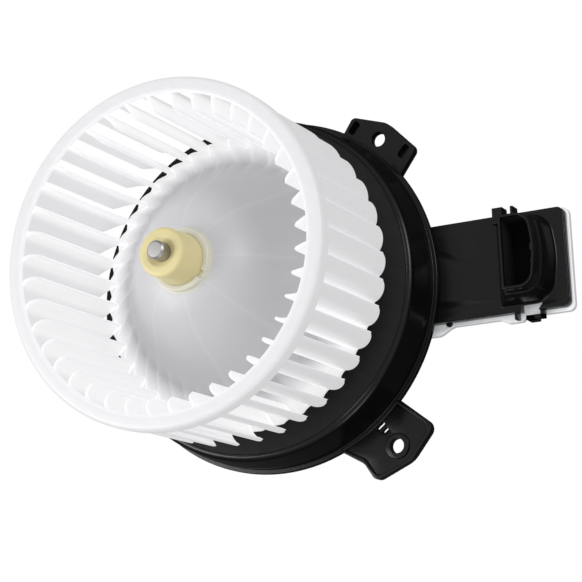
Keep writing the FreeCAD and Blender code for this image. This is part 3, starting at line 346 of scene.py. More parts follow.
def rounded(corners, steps=5):
    """Closed outline with an arc at each corner (a, b, corner radius). The arc's centre lies on the corner's
    bisector at radius / sin(half angle), and the arc touches both sides."""
    corners = [tuple(c) + (0.0,) * (3 - len(c)) for c in corners]
    points = np.array([c[:2] for c in corners], float)
    out = []
    for i, (_, _, radius) in enumerate(corners):
        here = points[i]
        if radius <= 0:
            out.append(here[None])
            continue
        back = points[i - 1] - here
        forth = points[(i + 1) % len(points)] - here
        back /= np.linalg.norm(back)
        forth /= np.linalg.norm(forth)
        bisector = back + forth
        bisector /= np.linalg.norm(bisector)
        half = np.arccos(np.clip(back @ forth, -1, 1)) / 2
        centre = here + bisector * radius / np.sin(half)
        start = here + back * radius / np.tan(half) - centre
        end = here + forth * radius / np.tan(half) - centre
        sweep = np.arctan2(start[0] * end[1] - start[1] * end[0], start @ end)
        t = np.linspace(0, sweep, steps + 1)[:, None]
        across = np.array([-start[1], start[0]])
        out.append(centre + start * np.cos(t) + across * np.sin(t))
    return np.concatenate(out)


def slab(outline, holes, z, edge):
    """Flat plate between two heights, with holes and small rounded edges, from a filled flat curve that
    is thickened by half the plate less the edge's radius and rounded by a bevel."""
    curve = bpy.data.curves.new("outline", "CURVE")
    curve.dimensions = "2D"
    curve.fill_mode = "BOTH"
    for loop in (outline, *holes):
        spline = curve.splines.new("POLY")
        spline.points.add(len(loop) - 1)
        flat = np.column_stack([np.asarray(loop, float), np.zeros(len(loop)), np.ones(len(loop))])
        spline.points.foreach_set("co", flat.ravel())
        spline.use_cyclic_u = True
    curve.extrude = (max(z) - min(z)) / 2 - edge
    curve.bevel_depth = edge
    curve.bevel_resolution = EDGE_RINGS
    curve.offset = -edge
    holder = bpy.data.objects.new("outline", curve)
    mesh = holder.to_mesh()
    points = np.empty(len(mesh.vertices) * 3)
    mesh.vertices.foreach_get("co", points)
    points = points.reshape(-1, 3)
    points[:, 2] += (max(z) + min(z)) / 2
    faces = [list(p.vertices) for p in mesh.polygons]
    holder.to_mesh_clear()
    bpy.data.objects.remove(holder)
    bpy.data.curves.remove(curve)
    return points, faces


def rectangle(x, y, corner=0.0):
    """Outline between two x and two y values, with rounded corners."""
    corners = [(x[0], y[0]), (x[1], y[0]), (x[1], y[1]), (x[0], y[1])]
    return rounded([(*point, corner) for point in corners], steps=3)


def ring(radius, at):
    """Round outline with its middle at the point."""
    angle = np.linspace(0, 2 * np.pi, HOLE_STEPS, endpoint=False)
    return np.column_stack([at[0] + radius * np.cos(angle), at[1] + radius * np.sin(angle)])


def turned_copy(part, angle_deg):
    """Part turned about the shaft axis by the angle, as one product with the turning matrix."""
    points, faces = part
    cos, sin = polar(1.0, angle_deg)
    points = np.asarray(points, float).reshape(-1, 3) @ np.array([[cos, sin, 0], [-sin, cos, 0], [0, 0, 1]])
    return points, faces


def moved(part, at):
    points, faces = part
    return np.asarray(points, float).reshape(-1, 3) + np.array([*at, 0.0]), faces


def lofted(loops):
    """Closed skin over loops with equal numbers of points, capped at its first and last loop."""
    loops = np.array(loops)
    rows, count = loops.shape[:2]
    caps = [list(range(count)), list(range((rows - 1) * count, rows * count))]
    return loops.reshape(-1, 3), grid_faces(rows, count, False, True).tolist() + caps


def around(part, count, start_deg=0.0):
    """Copies of a part at even angles a about the shaft axis, as one array: each point (x, y) goes to
    (x cos a - y sin a, x sin a + y cos a)."""
    points, faces = part
    points = np.asarray(points, float).reshape(-1, 3)
    angle = np.radians(start_deg + 360.0 * np.arange(count) / count)[:, None]
    x = points[None, :, 0] * np.cos(angle) - points[None, :, 1] * np.sin(angle)
    y = points[None, :, 0] * np.sin(angle) + points[None, :, 1] * np.cos(angle)
    z = np.broadcast_to(points[None, :, 2], x.shape)
    copies = np.stack([x, y, z], axis=-1).reshape(-1, 3)
    return copies, [[i + turn * len(points) for i in face] for turn in range(count) for face in faces]


# Materials

PLASTIC_SCALES = (18.0, 900.0)
METAL_SCALES = (60.0, 1400.0)
DRIFT_DETAIL = 3.0
GRAIN_DETAIL = 2.0
GRAIN_HEIGHT = 0.0001
GLOSS_SPREAD = 0.06
METAL_BUMP = 0.1

# A finish: its lighter tone, its darker tone, its roughness and, on all but metals, its bump
FINISHES = {
    "wheel_white": ((0.215, 0.215, 0.22), (0.19, 0.19, 0.2), 0.42, 0.05),
    "bush_yellow": ((0.57, 0.51, 0.27), (0.53, 0.455, 0.22), 0.45, 0.05),
    "housing_black": ((0.003, 0.003, 0.003), (0.0018, 0.0018, 0.0018), 0.25, 0.15),
    "light_alloy": ((0.80, 0.81, 0.825), (0.72, 0.73, 0.75), 0.5, 0.15),
    "ferrite": ((0.06, 0.06, 0.065), (0.04, 0.04, 0.045), 0.6, 0.2),
    "carbon": ((0.04, 0.04, 0.04), (0.025, 0.025, 0.025), 0.7, 0.2),
    "board_resin": ((0.06, 0.16, 0.07), (0.04, 0.12, 0.05), 0.5, 0.1),
    "chip_resin": ((0.03, 0.03, 0.03), (0.02, 0.02, 0.02), 0.6, 0.2),
    "rubber": ((0.03, 0.03, 0.03), (0.02, 0.02, 0.02), 0.75, 0.3),
}
METAL_FINISHES = {
    "shaft_steel": ((0.44, 0.43, 0.42), (0.36, 0.36, 0.36), 0.42),
    # Tin darkened to near black: painted shade for the pins inside the plug's mouth.
    "terminal_painted_shade": ((0.1, 0.09, 0.08), (0.06, 0.055, 0.05), 0.6),
    "can_steel": ((0.58, 0.58, 0.58), (0.48, 0.48, 0.49), 0.35),
    "spring_steel": ((0.45, 0.45, 0.46), (0.35, 0.35, 0.36), 0.35),
    "screw_steel": ((0.6, 0.6, 0.6), (0.5, 0.5, 0.52), 0.35),
    "sheet_steel": ((0.35, 0.35, 0.36), (0.25, 0.25, 0.26), 0.45),
    "copper": ((0.75, 0.38, 0.2), (0.6, 0.28, 0.14), 0.35),
    # Bronze darkened far below its own tone: painted shade.
    "bronze": ((0.16, 0.12, 0.07), (0.1, 0.075, 0.04), 0.6),
}

# Masks of the wheel by radius, which place its painted light and shade: the disc, the sleeve round the bush
# and the ring.
WHEEL_PAINTED_LIGHT_ZONES = {
    "Disc": (BLADE_INNER_RADIUS + 1.5, PETAL_START_RADIUS + 5.0),
    "Collar": (COLLAR_RADIUS + 1.2, COLLAR_RADIUS + 0.4),
    "Ring": (RING_EAVE_RADIUS - 0.5, RING_EAVE_RADIUS + 2.0),
}
RIB_LINE_SHARE = 0.16
# Painted light and shade of the wheel: the disc's tone and weak glow are painted shade, the glow on the
# blades, ring, rib lines and sleeve is painted light, and the sleeve's yellowish tone is painted light.
DISC_PAINTED_SHADE_TONE = (0.375, 0.375, 0.39)
COLLAR_TINT_PAINTED_LIGHT = (0.38, 0.37, 0.31)
DISC_PAINTED_LIGHT = (0.23, 0.23, 0.235)
RIB_PAINTED_LIGHT = (0.27, 0.27, 0.275)
COLLAR_PAINTED_LIGHT = (0.33, 0.32, 0.27)
BLADE_PAINTED_LIGHT = (1.16, 1.155, 1.16)
RING_PAINTED_LIGHT = (0.94, 0.93, 0.94)
MOUTH_SHARES = (1.07, 1.03)
MOUTH_DEPTHS = (0.6, 2.5)
MOUTH_ROUGHNESS = 0.95


def new_material(name):
    material = bpy.data.materials.new(name)
    material.use_nodes = True
    tree = material.node_tree
    return material, tree, tree.nodes["Principled BSDF"]


def new_group(name, inputs, outputs):
    """Shader group with number sockets: inputs with their values, and outputs."""
    group = bpy.data.node_groups.new(name, "ShaderNodeTree")
    for label, value in inputs.items():
        socket = group.interface.new_socket(name=label, in_out="INPUT", socket_type="NodeSocketFloat")
        socket.default_value = value
    for label in outputs:
        group.interface.new_socket(name=label, in_out="OUTPUT", socket_type="NodeSocketFloat")
    return group


def add(tree, kind, **settings):
    node = tree.nodes.new(kind)
    for name, value in settings.items():
        setattr(node, name, value)
    return node


def give(tree, socket, value):
    """Links another node's output to a socket, or sets the socket to a number, vector or colour."""
    if isinstance(value, bpy.types.NodeSocket):
        tree.links.new(value, socket)
    elif socket.type == "RGBA":
        socket.default_value = (*value, 1)
    else:
        socket.default_value = value


def worked(tree, kind, operation, *values):
    """Output of a Math or Vector Math node over its values, in their order."""
    node = add(tree, kind, operation=operation)
    for socket, value in zip(node.inputs, values):
        give(tree, socket, value)
    return next(output for output in node.outputs if output.enabled)


def ranged(tree, value, start, end, low=0.0, high=1.0):
    """Output that runs from low to high as the value runs from start to end, and holds beyond them."""
    node = tree.nodes.new("ShaderNodeMapRange")
    names = ("Value", "From Min", "From Max", "To Min", "To Max")
    for name, number in zip(names, (value, start, end, low, high)):
        give(tree, node.inputs[name], number)
    return node.outputs["Result"]


def blended(tree, share, first, second, kind="RGBA"):
    """Output that runs from first to second with the share."""
    node = add(tree, "ShaderNodeMix", data_type=kind)
    for name, value in (("Factor", share), ("A", first), ("B", second)):
        give(tree, node.inputs[name], value)
    return node.outputs["Result"]


def axes(tree, vector):
    """Outputs X, Y and Z of a vector."""
    node = tree.nodes.new("ShaderNodeSeparateXYZ")
    tree.links.new(vector, node.inputs["Vector"])
    return node.outputs


def moulded_group():
    """Shader group for a moulded or cast surface: a slow drift of tone and a fine grain, both noise."""
    names = ("Drift", "Grain")
    scales = {f"{name} Scale": scale for name, scale in zip(names, PLASTIC_SCALES)}
    group = new_group("moulded_surface", scales, names)
    enter = group.nodes.new("NodeGroupInput")
    leave = group.nodes.new("NodeGroupOutput")
    where = group.nodes.new("ShaderNodeTexCoord")
    for name, detail in zip(names, (DRIFT_DETAIL, GRAIN_DETAIL)):
        noise = group.nodes.new("ShaderNodeTexNoise")
        noise.inputs["Detail"].default_value = detail
        group.links.new(where.outputs["Object"], noise.inputs["Vector"])
        group.links.new(enter.outputs[f"{name} Scale"], noise.inputs["Scale"])
        group.links.new(noise.outputs["Fac"], leave.inputs[name])
    return group


MOULDED = moulded_group()


def grained(name, finish, scales):
    """Material of a finish: tone between its two colours by the drift, roughness and bump by the grain."""
    light, dark, rough, bump = finish
    material, tree, shader = new_material(name)
    surface = add(tree, "ShaderNodeGroup", node_tree=MOULDED)
    for socket, scale in zip(surface.inputs, scales):
        socket.default_value = scale
    grain = surface.outputs["Grain"]
    tone = blended(tree, surface.outputs["Drift"], dark, light)
    gloss = ranged(tree, grain, 0.0, 1.0, rough - GLOSS_SPREAD, rough + GLOSS_SPREAD)
    tree.links.new(tone, shader.inputs["Base Color"])
    tree.links.new(gloss, shader.inputs["Roughness"])
    relief = tree.nodes.new("ShaderNodeBump")
    relief.inputs["Strength"].default_value = bump
    relief.inputs["Distance"].default_value = GRAIN_HEIGHT
    tree.links.new(grain, relief.inputs["Height"])
    tree.links.new(relief.outputs["Normal"], shader.inputs["Normal"])
    return material, shader


def plastic(name):
    return grained(name, FINISHES[name], PLASTIC_SCALES)


def metal(name):
    material, shader = grained(name, (*METAL_FINISHES[name], METAL_BUMP), METAL_SCALES)
    shader.inputs["Metallic"].default_value = 1.0
    return material


def let_light_in(shader, weight, spread, depth):
    """Light spreads below the surface, each colour by its part of the depth in metres."""
    shader.inputs["Subsurface Weight"].default_value = weight
    shader.inputs["Subsurface Radius"].default_value = spread
    shader.inputs["Subsurface Scale"].default_value = depth


# Painted light: an emission on a part that is no lamp.
def add_painted_glow(shader, colour, strength):
    shader.inputs["Emission Color"].default_value = (*colour, 1)
    shader.inputs["Emission Strength"].default_value = strength


def painted_light_zone_group():
    """Shader group of masks for where the wheel's light and shade are painted, by distance from the shaft
    axis: the disc, the sleeve round the bush and the ring, and the lines where ribs stand below the disc."""
    group = new_group("wheel_painted_light_zones", {}, (*WHEEL_PAINTED_LIGHT_ZONES, "Ribs"))
    leave = group.nodes.new("NodeGroupOutput")
    place = group.nodes.new("ShaderNodeTexCoord").outputs["Object"]
    flat = worked(group, "ShaderNodeVectorMath", "MULTIPLY", place, (1, 1, 0))
    radius = worked(group, "ShaderNodeVectorMath", "LENGTH", flat)
    for name, (start, end) in WHEEL_PAINTED_LIGHT_ZONES.items():
        group.links.new(ranged(group, radius, start * MM, end * MM), leave.inputs[name])
    split = axes(group, place)
    turn = worked(group, "ShaderNodeMath", "ARCTAN2", split["Y"], split["X"])
    wave = worked(group, "ShaderNodeMath", "MULTIPLY", turn, DISC_RIB_COUNT / 2)
    wave = worked(group, "ShaderNodeMath", "SINE", wave)
    size = worked(group, "ShaderNodeMath", "ABSOLUTE", wave)
    group.links.new(ranged(group, size, RIB_LINE_SHARE, 0.0), leave.inputs["Ribs"])
    return group


def wheel_plastic():
    """Milky plastic that passes light on, with light and shade painted in by zone: a strong glow on the
    blades and a little less on the ring as painted light, a greyer tone and weak glow on the disc as painted
    shade, slightly brighter painted lines over the ribs under the disc, and a yellowish tone and glow on the
    sleeve round the bush as painted light.
    """
    material, shader = plastic("wheel_white")
    let_light_in(shader, weight=0.5, spread=(0.9, 1.0, 1.1), depth=0.004)
    tree = material.node_tree
    zones = add(tree, "ShaderNodeGroup", node_tree=painted_light_zone_group()).outputs
    tone = shader.inputs["Base Color"].links[0].from_socket
    # Base tone by zone: greyer on the disc as painted shade, yellowish on the sleeve as painted light.
    tone = blended(tree, zones["Disc"], tone, DISC_PAINTED_SHADE_TONE)
    tone = blended(tree, zones["Collar"], tone, COLLAR_TINT_PAINTED_LIGHT)
    tree.links.new(tone, shader.inputs["Base Color"])
    # Glow by zone, all painted light: strong on the blades, less on the ring, weak on the disc as painted
    # shade, a little more over the rib lines.
    middle = blended(tree, zones["Ribs"], DISC_PAINTED_LIGHT, RIB_PAINTED_LIGHT)
    middle = blended(tree, zones["Collar"], middle, COLLAR_PAINTED_LIGHT)
    outside = blended(tree, zones["Ring"], BLADE_PAINTED_LIGHT, RING_PAINTED_LIGHT)
    glow = blended(tree, zones["Disc"], outside, middle)
    tree.links.new(glow, shader.inputs["Emission Color"])
    # The emission is painted light: the wheel glows though it is no lamp.
    shader.inputs["Emission Strength"].default_value = 0.6
    return material


def bush_nylon():
    """Pale yellow nylon that passes a little light on, with a faint glow that is painted light."""
    material, shader = plastic("bush_yellow")
    let_light_in(shader, weight=0.3, spread=(1.0, 0.8, 0.3), depth=0.003)
    # Faint yellow glow: painted light.
    add_painted_glow(shader, colour=(0.8, 0.7, 0.4), strength=0.09)
    return material


def mouth_group():
    """Shader group for the arm: one inside the plug's mouth, nought elsewhere, by how far a point is from
    the mouth's middle as a share of half its size, and by how deep it is below the rim."""
    group = new_group("plug_mouth", {}, ("Mouth",))
    leave = group.nodes.new("NodeGroupOutput")
    place = group.nodes.new("ShaderNodeTexCoord").outputs["Object"]
    middle = ((SOCKET_NEAR_X + SOCKET_FAR_X) / 2 * MM, 0.0, 0.0)
    half = ((SOCKET_FAR_X - SOCKET_NEAR_X) / 2 * MM, SOCKET_HALF_Y * MM, 1.0)
    off = worked(group, "ShaderNodeVectorMath", "SUBTRACT", place, middle)
    share = worked(group, "ShaderNodeVectorMath", "DIVIDE", off, half)
    size = axes(group, worked(group, "ShaderNodeVectorMath", "ABSOLUTE", share))
    widest = worked(group, "ShaderNodeMath", "MAXIMUM", size["X"], size["Y"])
    within = ranged(group, widest, *MOUTH_SHARES)
    start, end = ((SOCKET_RIM_Z - depth) * MM for depth in MOUTH_DEPTHS)
    below = ranged(group, axes(group, place)["Z"], start, end)
    mouth = worked(group, "ShaderNodeMath", "MULTIPLY", within, below)
    group.links.new(mouth, leave.inputs["Mouth"])
    return group


def black_plastic():
    """Glossy black plastic, matt inside the plug's mouth."""
    material, shader = plastic("housing_black")
    shader.inputs["Specular IOR Level"].default_value = 0.25
    tree = material.node_tree
    gloss = shader.inputs["Roughness"].links[0].from_socket
    mouth = add(tree, "ShaderNodeGroup", node_tree=mouth_group()).outputs["Mouth"]
    tree.links.new(blended(tree, mouth, gloss, MOUTH_ROUGHNESS, "FLOAT"), shader.inputs["Roughness"])
    return material


def plate_alloy():
    """Pale cast alloy, matt and light grey, with a pale glow that is a painted reflection of the white
    floor.
    """
    material, shader = grained("light_alloy", FINISHES["light_alloy"], METAL_SCALES)
    shader.inputs["Metallic"].default_value = 0.3
    # Pale glow: painted reflection of the white floor.
    add_painted_glow(shader, colour=(0.95, 0.98, 1.0), strength=0.2)
    return material


SLOT_MATERIALS = {
    "wheel_plastic": wheel_plastic(),
    "bush_nylon": bush_nylon(),
    "black_plastic": black_plastic(),
    "light_alloy": plate_alloy(),
    "laminated_steel": metal("sheet_steel"),
    "isolator_rubber": plastic("rubber")[0],
}
for slot in ("shaft_steel", "can_steel", "spring_steel", "screw_steel", "copper", "bronze"):
    SLOT_MATERIALS[slot] = metal(slot)
for slot in ("ferrite", "carbon", "board_resin", "chip_resin"):
    SLOT_MATERIALS[slot] = plastic(slot)[0]


def finish_node(name, material):
    """Gives a solid that is carried over its material."""
    slots = frame["nodes"][name].data.materials
    slots.clear()
    slots.append(material)


for entry in frame["record"]["subparts"]:
    finish_node(entry["node"], SLOT_MATERIALS[entry["material_slot"]])
# The plug's pins get darkened tin, painted shade inside the plug's mouth.
finish_node("connector_pins", metal("terminal_painted_shade"))


# Fan wheel

def blade_line(count):
    """Centre line of a blade in plan: the circle through its inner end, middle and outer end."""
    a = polar(BLADE_INNER_RADIUS - BLADE_END_OVERLAP, -BLADE_INNER_SWEEP_DEG)
    b = polar(BLADE_MIDDLE_RADIUS, -BLADE_MIDDLE_SWEEP_DEG)
    c = polar(BLADE_OUTER + BLADE_END_OVERLAP, 0.0)
    centre = np.linalg.solve(2 * np.array([b - a, c - a]), np.array([b @ b - a @ a, c @ c - a @ a]))
    radius = np.linalg.norm(a - centre)
    start = np.arctan2(*(a - centre)[::-1])
    end = np.arctan2(*(c - centre)[::-1])
    angle = np.linspace(start, start + (end - start + np.pi) % (2 * np.pi) - np.pi, count)
    outward = np.stack([np.cos(angle), np.sin(angle)], axis=-1)
    return centre + radius * outward, outward


def blade():
    """Blade as two sheets over a grid of chord s and height t. The height runs between the rounded tip
    line and the rounded rim line, and each sheet stands off the centre line by half the thickness, which
    falls to nothing at the border as a superellipse."""
    across, up = BLADE_STEPS
    s = np.linspace(0, 1, across)
    t = (1 - np.cos(np.linspace(0, np.pi, up))) / 2
    line, outward = blade_line(across)
    radius = np.linalg.norm(line, axis=1)
    past = np.clip((radius - BLADE_OUTER + BLADE_TIP_ROUND) / BLADE_TIP_ROUND, 0, 1)
    low = BLADE_TIP_Z + BLADE_TIP_ROUND * (1 - np.sqrt(1 - past ** 2))
    rim_start = BLADE_RIM_INNER_RADIUS + BLADE_RIM_ROUND
    before = np.clip((rim_start - radius) / (BLADE_RIM_ROUND + BLADE_RIM_RUN), 0, 1)
    high = WHEEL_TOP_Z - BLADE_BELOW_TOP - BLADE_RIM_ROUND * (1 - np.sqrt(1 - before ** 2))
    lead, run = BLADE_EAVE_RUN
    high -= RING_EAVE_THICK / 2 * np.clip((radius - RING_EAVE_RADIUS + lead) / run, 0, 1)
    z = low[:, None] + (high - low)[:, None] * t[None, :]
    edge = (1 - np.abs(2 * s - 1) ** BLADE_POWERS[0]) ** BLADE_BORDER_FALL
    body = BLADE_EDGE_THICKNESS + (BLADE_THICKNESS - BLADE_EDGE_THICKNESS) * (1 - (2 * s - 1) ** 2)
    end = (1 - np.abs(2 * t - 1) ** BLADE_POWERS[1]) ** BLADE_BORDER_FALL
    half = (body * edge / 2)[:, None] * end[None, :]
    sheets = []
    for side in (1, -1):
        x = line[:, 0, None] + side * half * outward[:, 0, None]
        y = line[:, 1, None] + side * half * outward[:, 1, None]
        sheets.append((np.stack([x, y, z], axis=-1), grid_faces(across, up)))
    return joined(sheets)


def wheel_ring():
    """Ring wall with a flat eave that runs inwards over the outer ends of the blades."""
    inner = WHEEL_RADIUS - RING_WALL
    low = WHEEL_TOP_Z - RING_HEIGHT
    eave = WHEEL_TOP_Z - RING_EAVE_THICK
    return turned(rounded([
        (inner, low, 0.5), (WHEEL_RADIUS, low, 0.7), (WHEEL_RADIUS, WHEEL_TOP_Z, 2.0),
        (RING_EAVE_RADIUS, WHEEL_TOP_Z, 0.7), (RING_EAVE_RADIUS, eave, 0.5), (inner, eave, 0.5),
    ]))


def disc_line(drop, count=DISC_STEPS):
    """Bell line of the disc: the cubic in chord length through its four given points, then a straight
    skirt between the blades."""
    points = np.array([
        (DISC_TOP[0], DISC_TOP[1] - drop),
        (DISC_CROWN[0], DISC_CROWN[1] - drop),
        (DISC_SHOULDER[0] - drop * DISC_THINNING, DISC_SHOULDER[1] - drop),
        (BLADE_INNER_RADIUS + DISC_INTO_BLADES, DISC_RIM_Z - drop),
    ])
    steps = np.linalg.norm(np.diff(points, axis=0), axis=1)
    knots = np.concatenate([[0], np.cumsum(steps)]) / steps.sum()
    cubic = np.linalg.solve(knots[:, None] ** np.arange(4), points)
    t = np.linspace(0, 1, count)
    bell = (t[:, None] ** np.arange(4)) @ cubic
    skirt_end = np.array([DISC_SKIRT[0], DISC_SKIRT[1] - drop])
    skirt = bell[-1] + (skirt_end - bell[-1]) * np.linspace(0, 1, DISC_SKIRT_STEPS)[1:, None]
    return np.concatenate([bell, skirt])


def petals(points):
    """Flutes of the disc between the blades' feet: the surface sinks by the petal depth along lines that
    follow the blades, and rises between them as the size of a sine. The depth fades in with the radius."""
    radius = np.hypot(points[..., 0], points[..., 1])
    angle = np.degrees(np.arctan2(points[..., 1], points[..., 0]))
    share = np.clip((radius - PETAL_START_RADIUS) / (PETAL_FULL_RADIUS - PETAL_START_RADIUS), 0, 1)
    depth = PETAL_DEPTH * share ** 2 * (3 - 2 * share)
    reach = BLADE_OUTER - BLADE_INNER_RADIUS
    sweep = BLADE_INNER_SWEEP_DEG * (BLADE_OUTER - np.maximum(radius, PETAL_FULL_RADIUS)) / reach
    phase = np.radians((angle - FIRST_BLADE_DEG + sweep) * BLADE_COUNT / 2)
    sunk = points.copy()
    crease = np.sqrt(np.sin(phase) ** 2 * (1 - PETAL_CREASE_ROUND) + PETAL_CREASE_ROUND)
    sunk[..., 2] -= depth * (1 - crease)
    return sunk


def wheel_disc():
    """Bell-shaped disc and the sleeve round the bush. The sleeve's top sinks by the notch's depth within
    half its width, over the sleeve's last few millimetres."""
    points, faces = turned(np.concatenate([disc_line(0.0), disc_line(DISC_WALL)[::-1]]), PETAL_STEPS)
    shell = (petals(points), faces)
    bore = BUSH_RADIUS + COLLAR_GAP
    loop = rounded([
        (bore, BUSH_BACK_Z + 1.5, 0), (COLLAR_RADIUS, BUSH_BACK_Z + 1.0, 0.5),
        (COLLAR_RADIUS, COLLAR_TOP_Z, 0.6), (bore, COLLAR_TOP_Z, 0.3),
    ])
    points, faces = turned(loop)
    angle = np.degrees(np.arctan2(points[..., 1], points[..., 0]))
    off = np.abs((angle - COLLAR_NOTCH_DEG + 180) % 360 - 180)
    half = np.degrees(COLLAR_NOTCH_WIDTH / 2 / COLLAR_RADIUS)
    dip = COLLAR_NOTCH_DEPTH * np.clip((half - off) / COLLAR_NOTCH_FLANK_DEG + 0.5, 0, 1)
    start_z = COLLAR_TOP_Z - COLLAR_NOTCH_REACH
    share = np.clip((points[..., 2] - start_z) / COLLAR_NOTCH_REACH, 0, 1)
    points[..., 2] -= dip * share
    return [shell, (points, faces)]


def upright_rib(loop, thickness):
    """Upright plate of the closed outline loop of (x, z) points, half its thickness each side of y = 0."""
    sides = (-thickness / 2, thickness / 2)
    return lofted([np.column_stack([loop[:, 0], np.full(len(loop), y), loop[:, 1]]) for y in sides])


def disc_rib():
    """Low upright rib below the disc, as a closed strip between the disc and a line below it."""
    drops = (DISC_WALL * DISC_RIB_ROOT, DISC_WALL + DISC_RIB_DEPTH)
    lines = [disc_line(drop, DISC_RIB_STEPS) for drop in drops]
    upper, lower = (line[line[:, 0] < DISC_RIB_END_RADIUS] for line in lines)
    return upright_rib(np.concatenate([upper, lower[::-1]]), DISC_RIB_THICKNESS)


def bush_loop():
    """Section of the bush, (radius, z), with the shallow recess round the shaft at its front."""
    recess_z = BUSH_FRONT_Z - BUSH_RECESS_DEPTH
    return rounded([
        (SHAFT_RADIUS, BUSH_BACK_Z, 0), (BUSH_RADIUS - 0.6, BUSH_BACK_Z, 0.4),
        (BUSH_RADIUS, BUSH_SHOULDER_Z, 0.6), (BUSH_FRONT_RADIUS, BUSH_FRONT_Z, BUSH_EDGE_ROUND),
        (BUSH_RECESS_RADIUS, BUSH_FRONT_Z, 0.9), (SHAFT_RADIUS + 0.6, recess_z, 0.6),
        (SHAFT_RADIUS, recess_z - 0.4, 0),
    ])


def shaft_loop():
    """Section of the shaft, (radius, z), with a bevel at each end."""
    rear, front = SHAFT_REAR_Z, SHAFT_FRONT_Z
    narrow = SHAFT_RADIUS - SHAFT_BEVEL
    return rounded([
        (SHAFT_POLE, rear, 0), (narrow, rear, 0.2), (SHAFT_RADIUS, rear + SHAFT_BEVEL, 0.2),
        (SHAFT_RADIUS, front - SHAFT_BEVEL, 0.2), (narrow, front, 0.25), (SHAFT_POLE, front, 0),
    ])


# Flange housing

def flange_loop():
    """Section of the flange, (radius, z): lip, drafted spigot wall, bead, flat top, motor cup and its
    neck, then back along the inside by the wall's thickness."""
    wall = HOUSING_WALL
    cup_inner = MOTOR_CUP_RADIUS - wall
    ledge = cup_inner - NECK_LEDGE
    under = PLATEAU_Z - wall
    neck = PLATEAU_Z + NECK_HEIGHT
    slope = (SPIGOT_RADIUS - WALL_TOP_RADIUS) / (PLATEAU_Z - SPIGOT_HEIGHT)
    near_bead, far_bead = BEAD_RADIUS - BEAD_WIDTH / 2, BEAD_RADIUS + BEAD_WIDTH / 2
    return rounded([
        (SPIGOT_RADIUS - wall, -LIP_THICKNESS, 0.3), (LIP_RADIUS, -LIP_THICKNESS, 0.4),
        (LIP_RADIUS, 0.0, 0.5), (SPIGOT_RADIUS, 0.0, 0.4), (SPIGOT_RADIUS, SPIGOT_HEIGHT, 1.0),
        (WALL_TOP_RADIUS + slope * SHOULDER_ROUND, PLATEAU_Z - SHOULDER_ROUND, 0),
        (WALL_TOP_RADIUS, PLATEAU_Z, SHOULDER_ROUND - 0.4),
        (far_bead, PLATEAU_Z, 0.12), (BEAD_RADIUS, PLATEAU_Z + BEAD_HEIGHT, 0.25),
        (near_bead, PLATEAU_Z, 0.12), (MOTOR_CUP_RADIUS, PLATEAU_Z, 0.5),
        (MOTOR_CUP_RADIUS, neck, 1.0), (ledge, neck, 0.8), (ledge, neck - wall, 0.3),
        (cup_inner, neck - wall, 0), (cup_inner, MOTOR_CUP_REAR_Z, 0.3),
        (MOTOR_CUP_RADIUS, MOTOR_CUP_REAR_Z, 0.3), (MOTOR_CUP_RADIUS, under, 2.0),
        (WALL_TOP_RADIUS - wall, under, SHOULDER_ROUND - 1.0),
    ])


def ear_outline(ear, inset=0.0):
    """Ear in its own frame, x outwards and y along the lip, drawn in on all sides by the inset."""
    hole = ear["hole"]
    corners = [(hole + x - inset, y - inset * np.sign(y), corner) for x, y, corner in ear["corners"]]
    root = LIP_RADIUS - EAR_ROOT_DEPTH
    ends = (ear["foot"][0] + inset, ear["foot"][1] - inset)
    feet = [(np.sqrt(root ** 2 - y ** 2), y) for y in ends]
    return rounded([feet[0], *corners, feet[1]], steps=8)


def ear_with_recesses(ear):
    """Thin floor below a plate that has two slot-shaped openings, so that these read as blind recesses."""
    outline = ear_outline(ear)
    hole = ring(EAR_HOLE_RADIUS, (ear["hole"], 0.0))
    half_l = EAR_RECESS_LENGTH / 2
    half_w = EAR_RECESS_WIDTH / 2
    openings = []
    for x, y in ear["recesses"]:
        middle = ear["hole"] + x
        span = (y - half_w, y + half_w)
        openings.append(rectangle((middle - half_l, middle + half_l), span, EAR_RECESS_CORNER))
    floor_z = EAR_RECESS_FLOOR - EAR_THICKNESS
    floor_edge, top_edge = EAR_RECESS_EDGES
    parts = [
        slab(outline, [hole], (-EAR_THICKNESS, floor_z), floor_edge),
        slab(outline, [hole, *openings], (floor_z - EAR_RECESS_OVERLAP, 0.0), top_edge),
    ]
    return turned_copy(joined(parts), ear["at"])


def ear_with_dish(ear):
    """Dished plate: a floor with the bore and two fine slots, a low wall round the edge and a bored boss."""
    outline = ear_outline(ear)
    hole = ring(EAR_HOLE_RADIUS, (ear["hole"], 0.0))
    half_w = EAR_SLOT_WIDTH / 2
    slots = []
    for x, y, length in EAR_SLOTS:
        middle = ear["hole"] + x
        span = (y - length / 2, y + length / 2)
        slots.append(rectangle((middle - half_w, middle + half_w), span, EAR_SLOT_CORNER))
    boss = ring(EAR_HOLE_RADIUS + EAR_BOSS_WALL, (ear["hole"], 0.0))
    dish_z = -EAR_DISH_DEPTH
    parts = [
        slab(outline, [hole, *slots], (-EAR_THICKNESS, dish_z), EAR_EDGE),
        slab(outline, [ear_outline(ear, EAR_EDGE_RIM)], (dish_z - EAR_OVERLAP, 0.0), EAR_EDGE),
        slab(boss, [hole], (dish_z - EAR_OVERLAP, 0.0), EAR_EDGE),
    ]
    return turned_copy(joined(parts), ear["at"])


def flange_rib():
    """Upright rib under the flat top, from the motor cup to the spigot wall."""
    inner = MOTOR_CUP_RADIUS - HOUSING_WALL / 2
    outer = WALL_TOP_RADIUS - HOUSING_WALL / 2
    top = PLATEAU_Z - HOUSING_WALL / 2
    loop = np.array([(inner, RIB_INNER_Z), (outer, RIB_OUTER_Z), (outer, top), (inner, top)])
    return upright_rib(loop, RIB_THICKNESS)


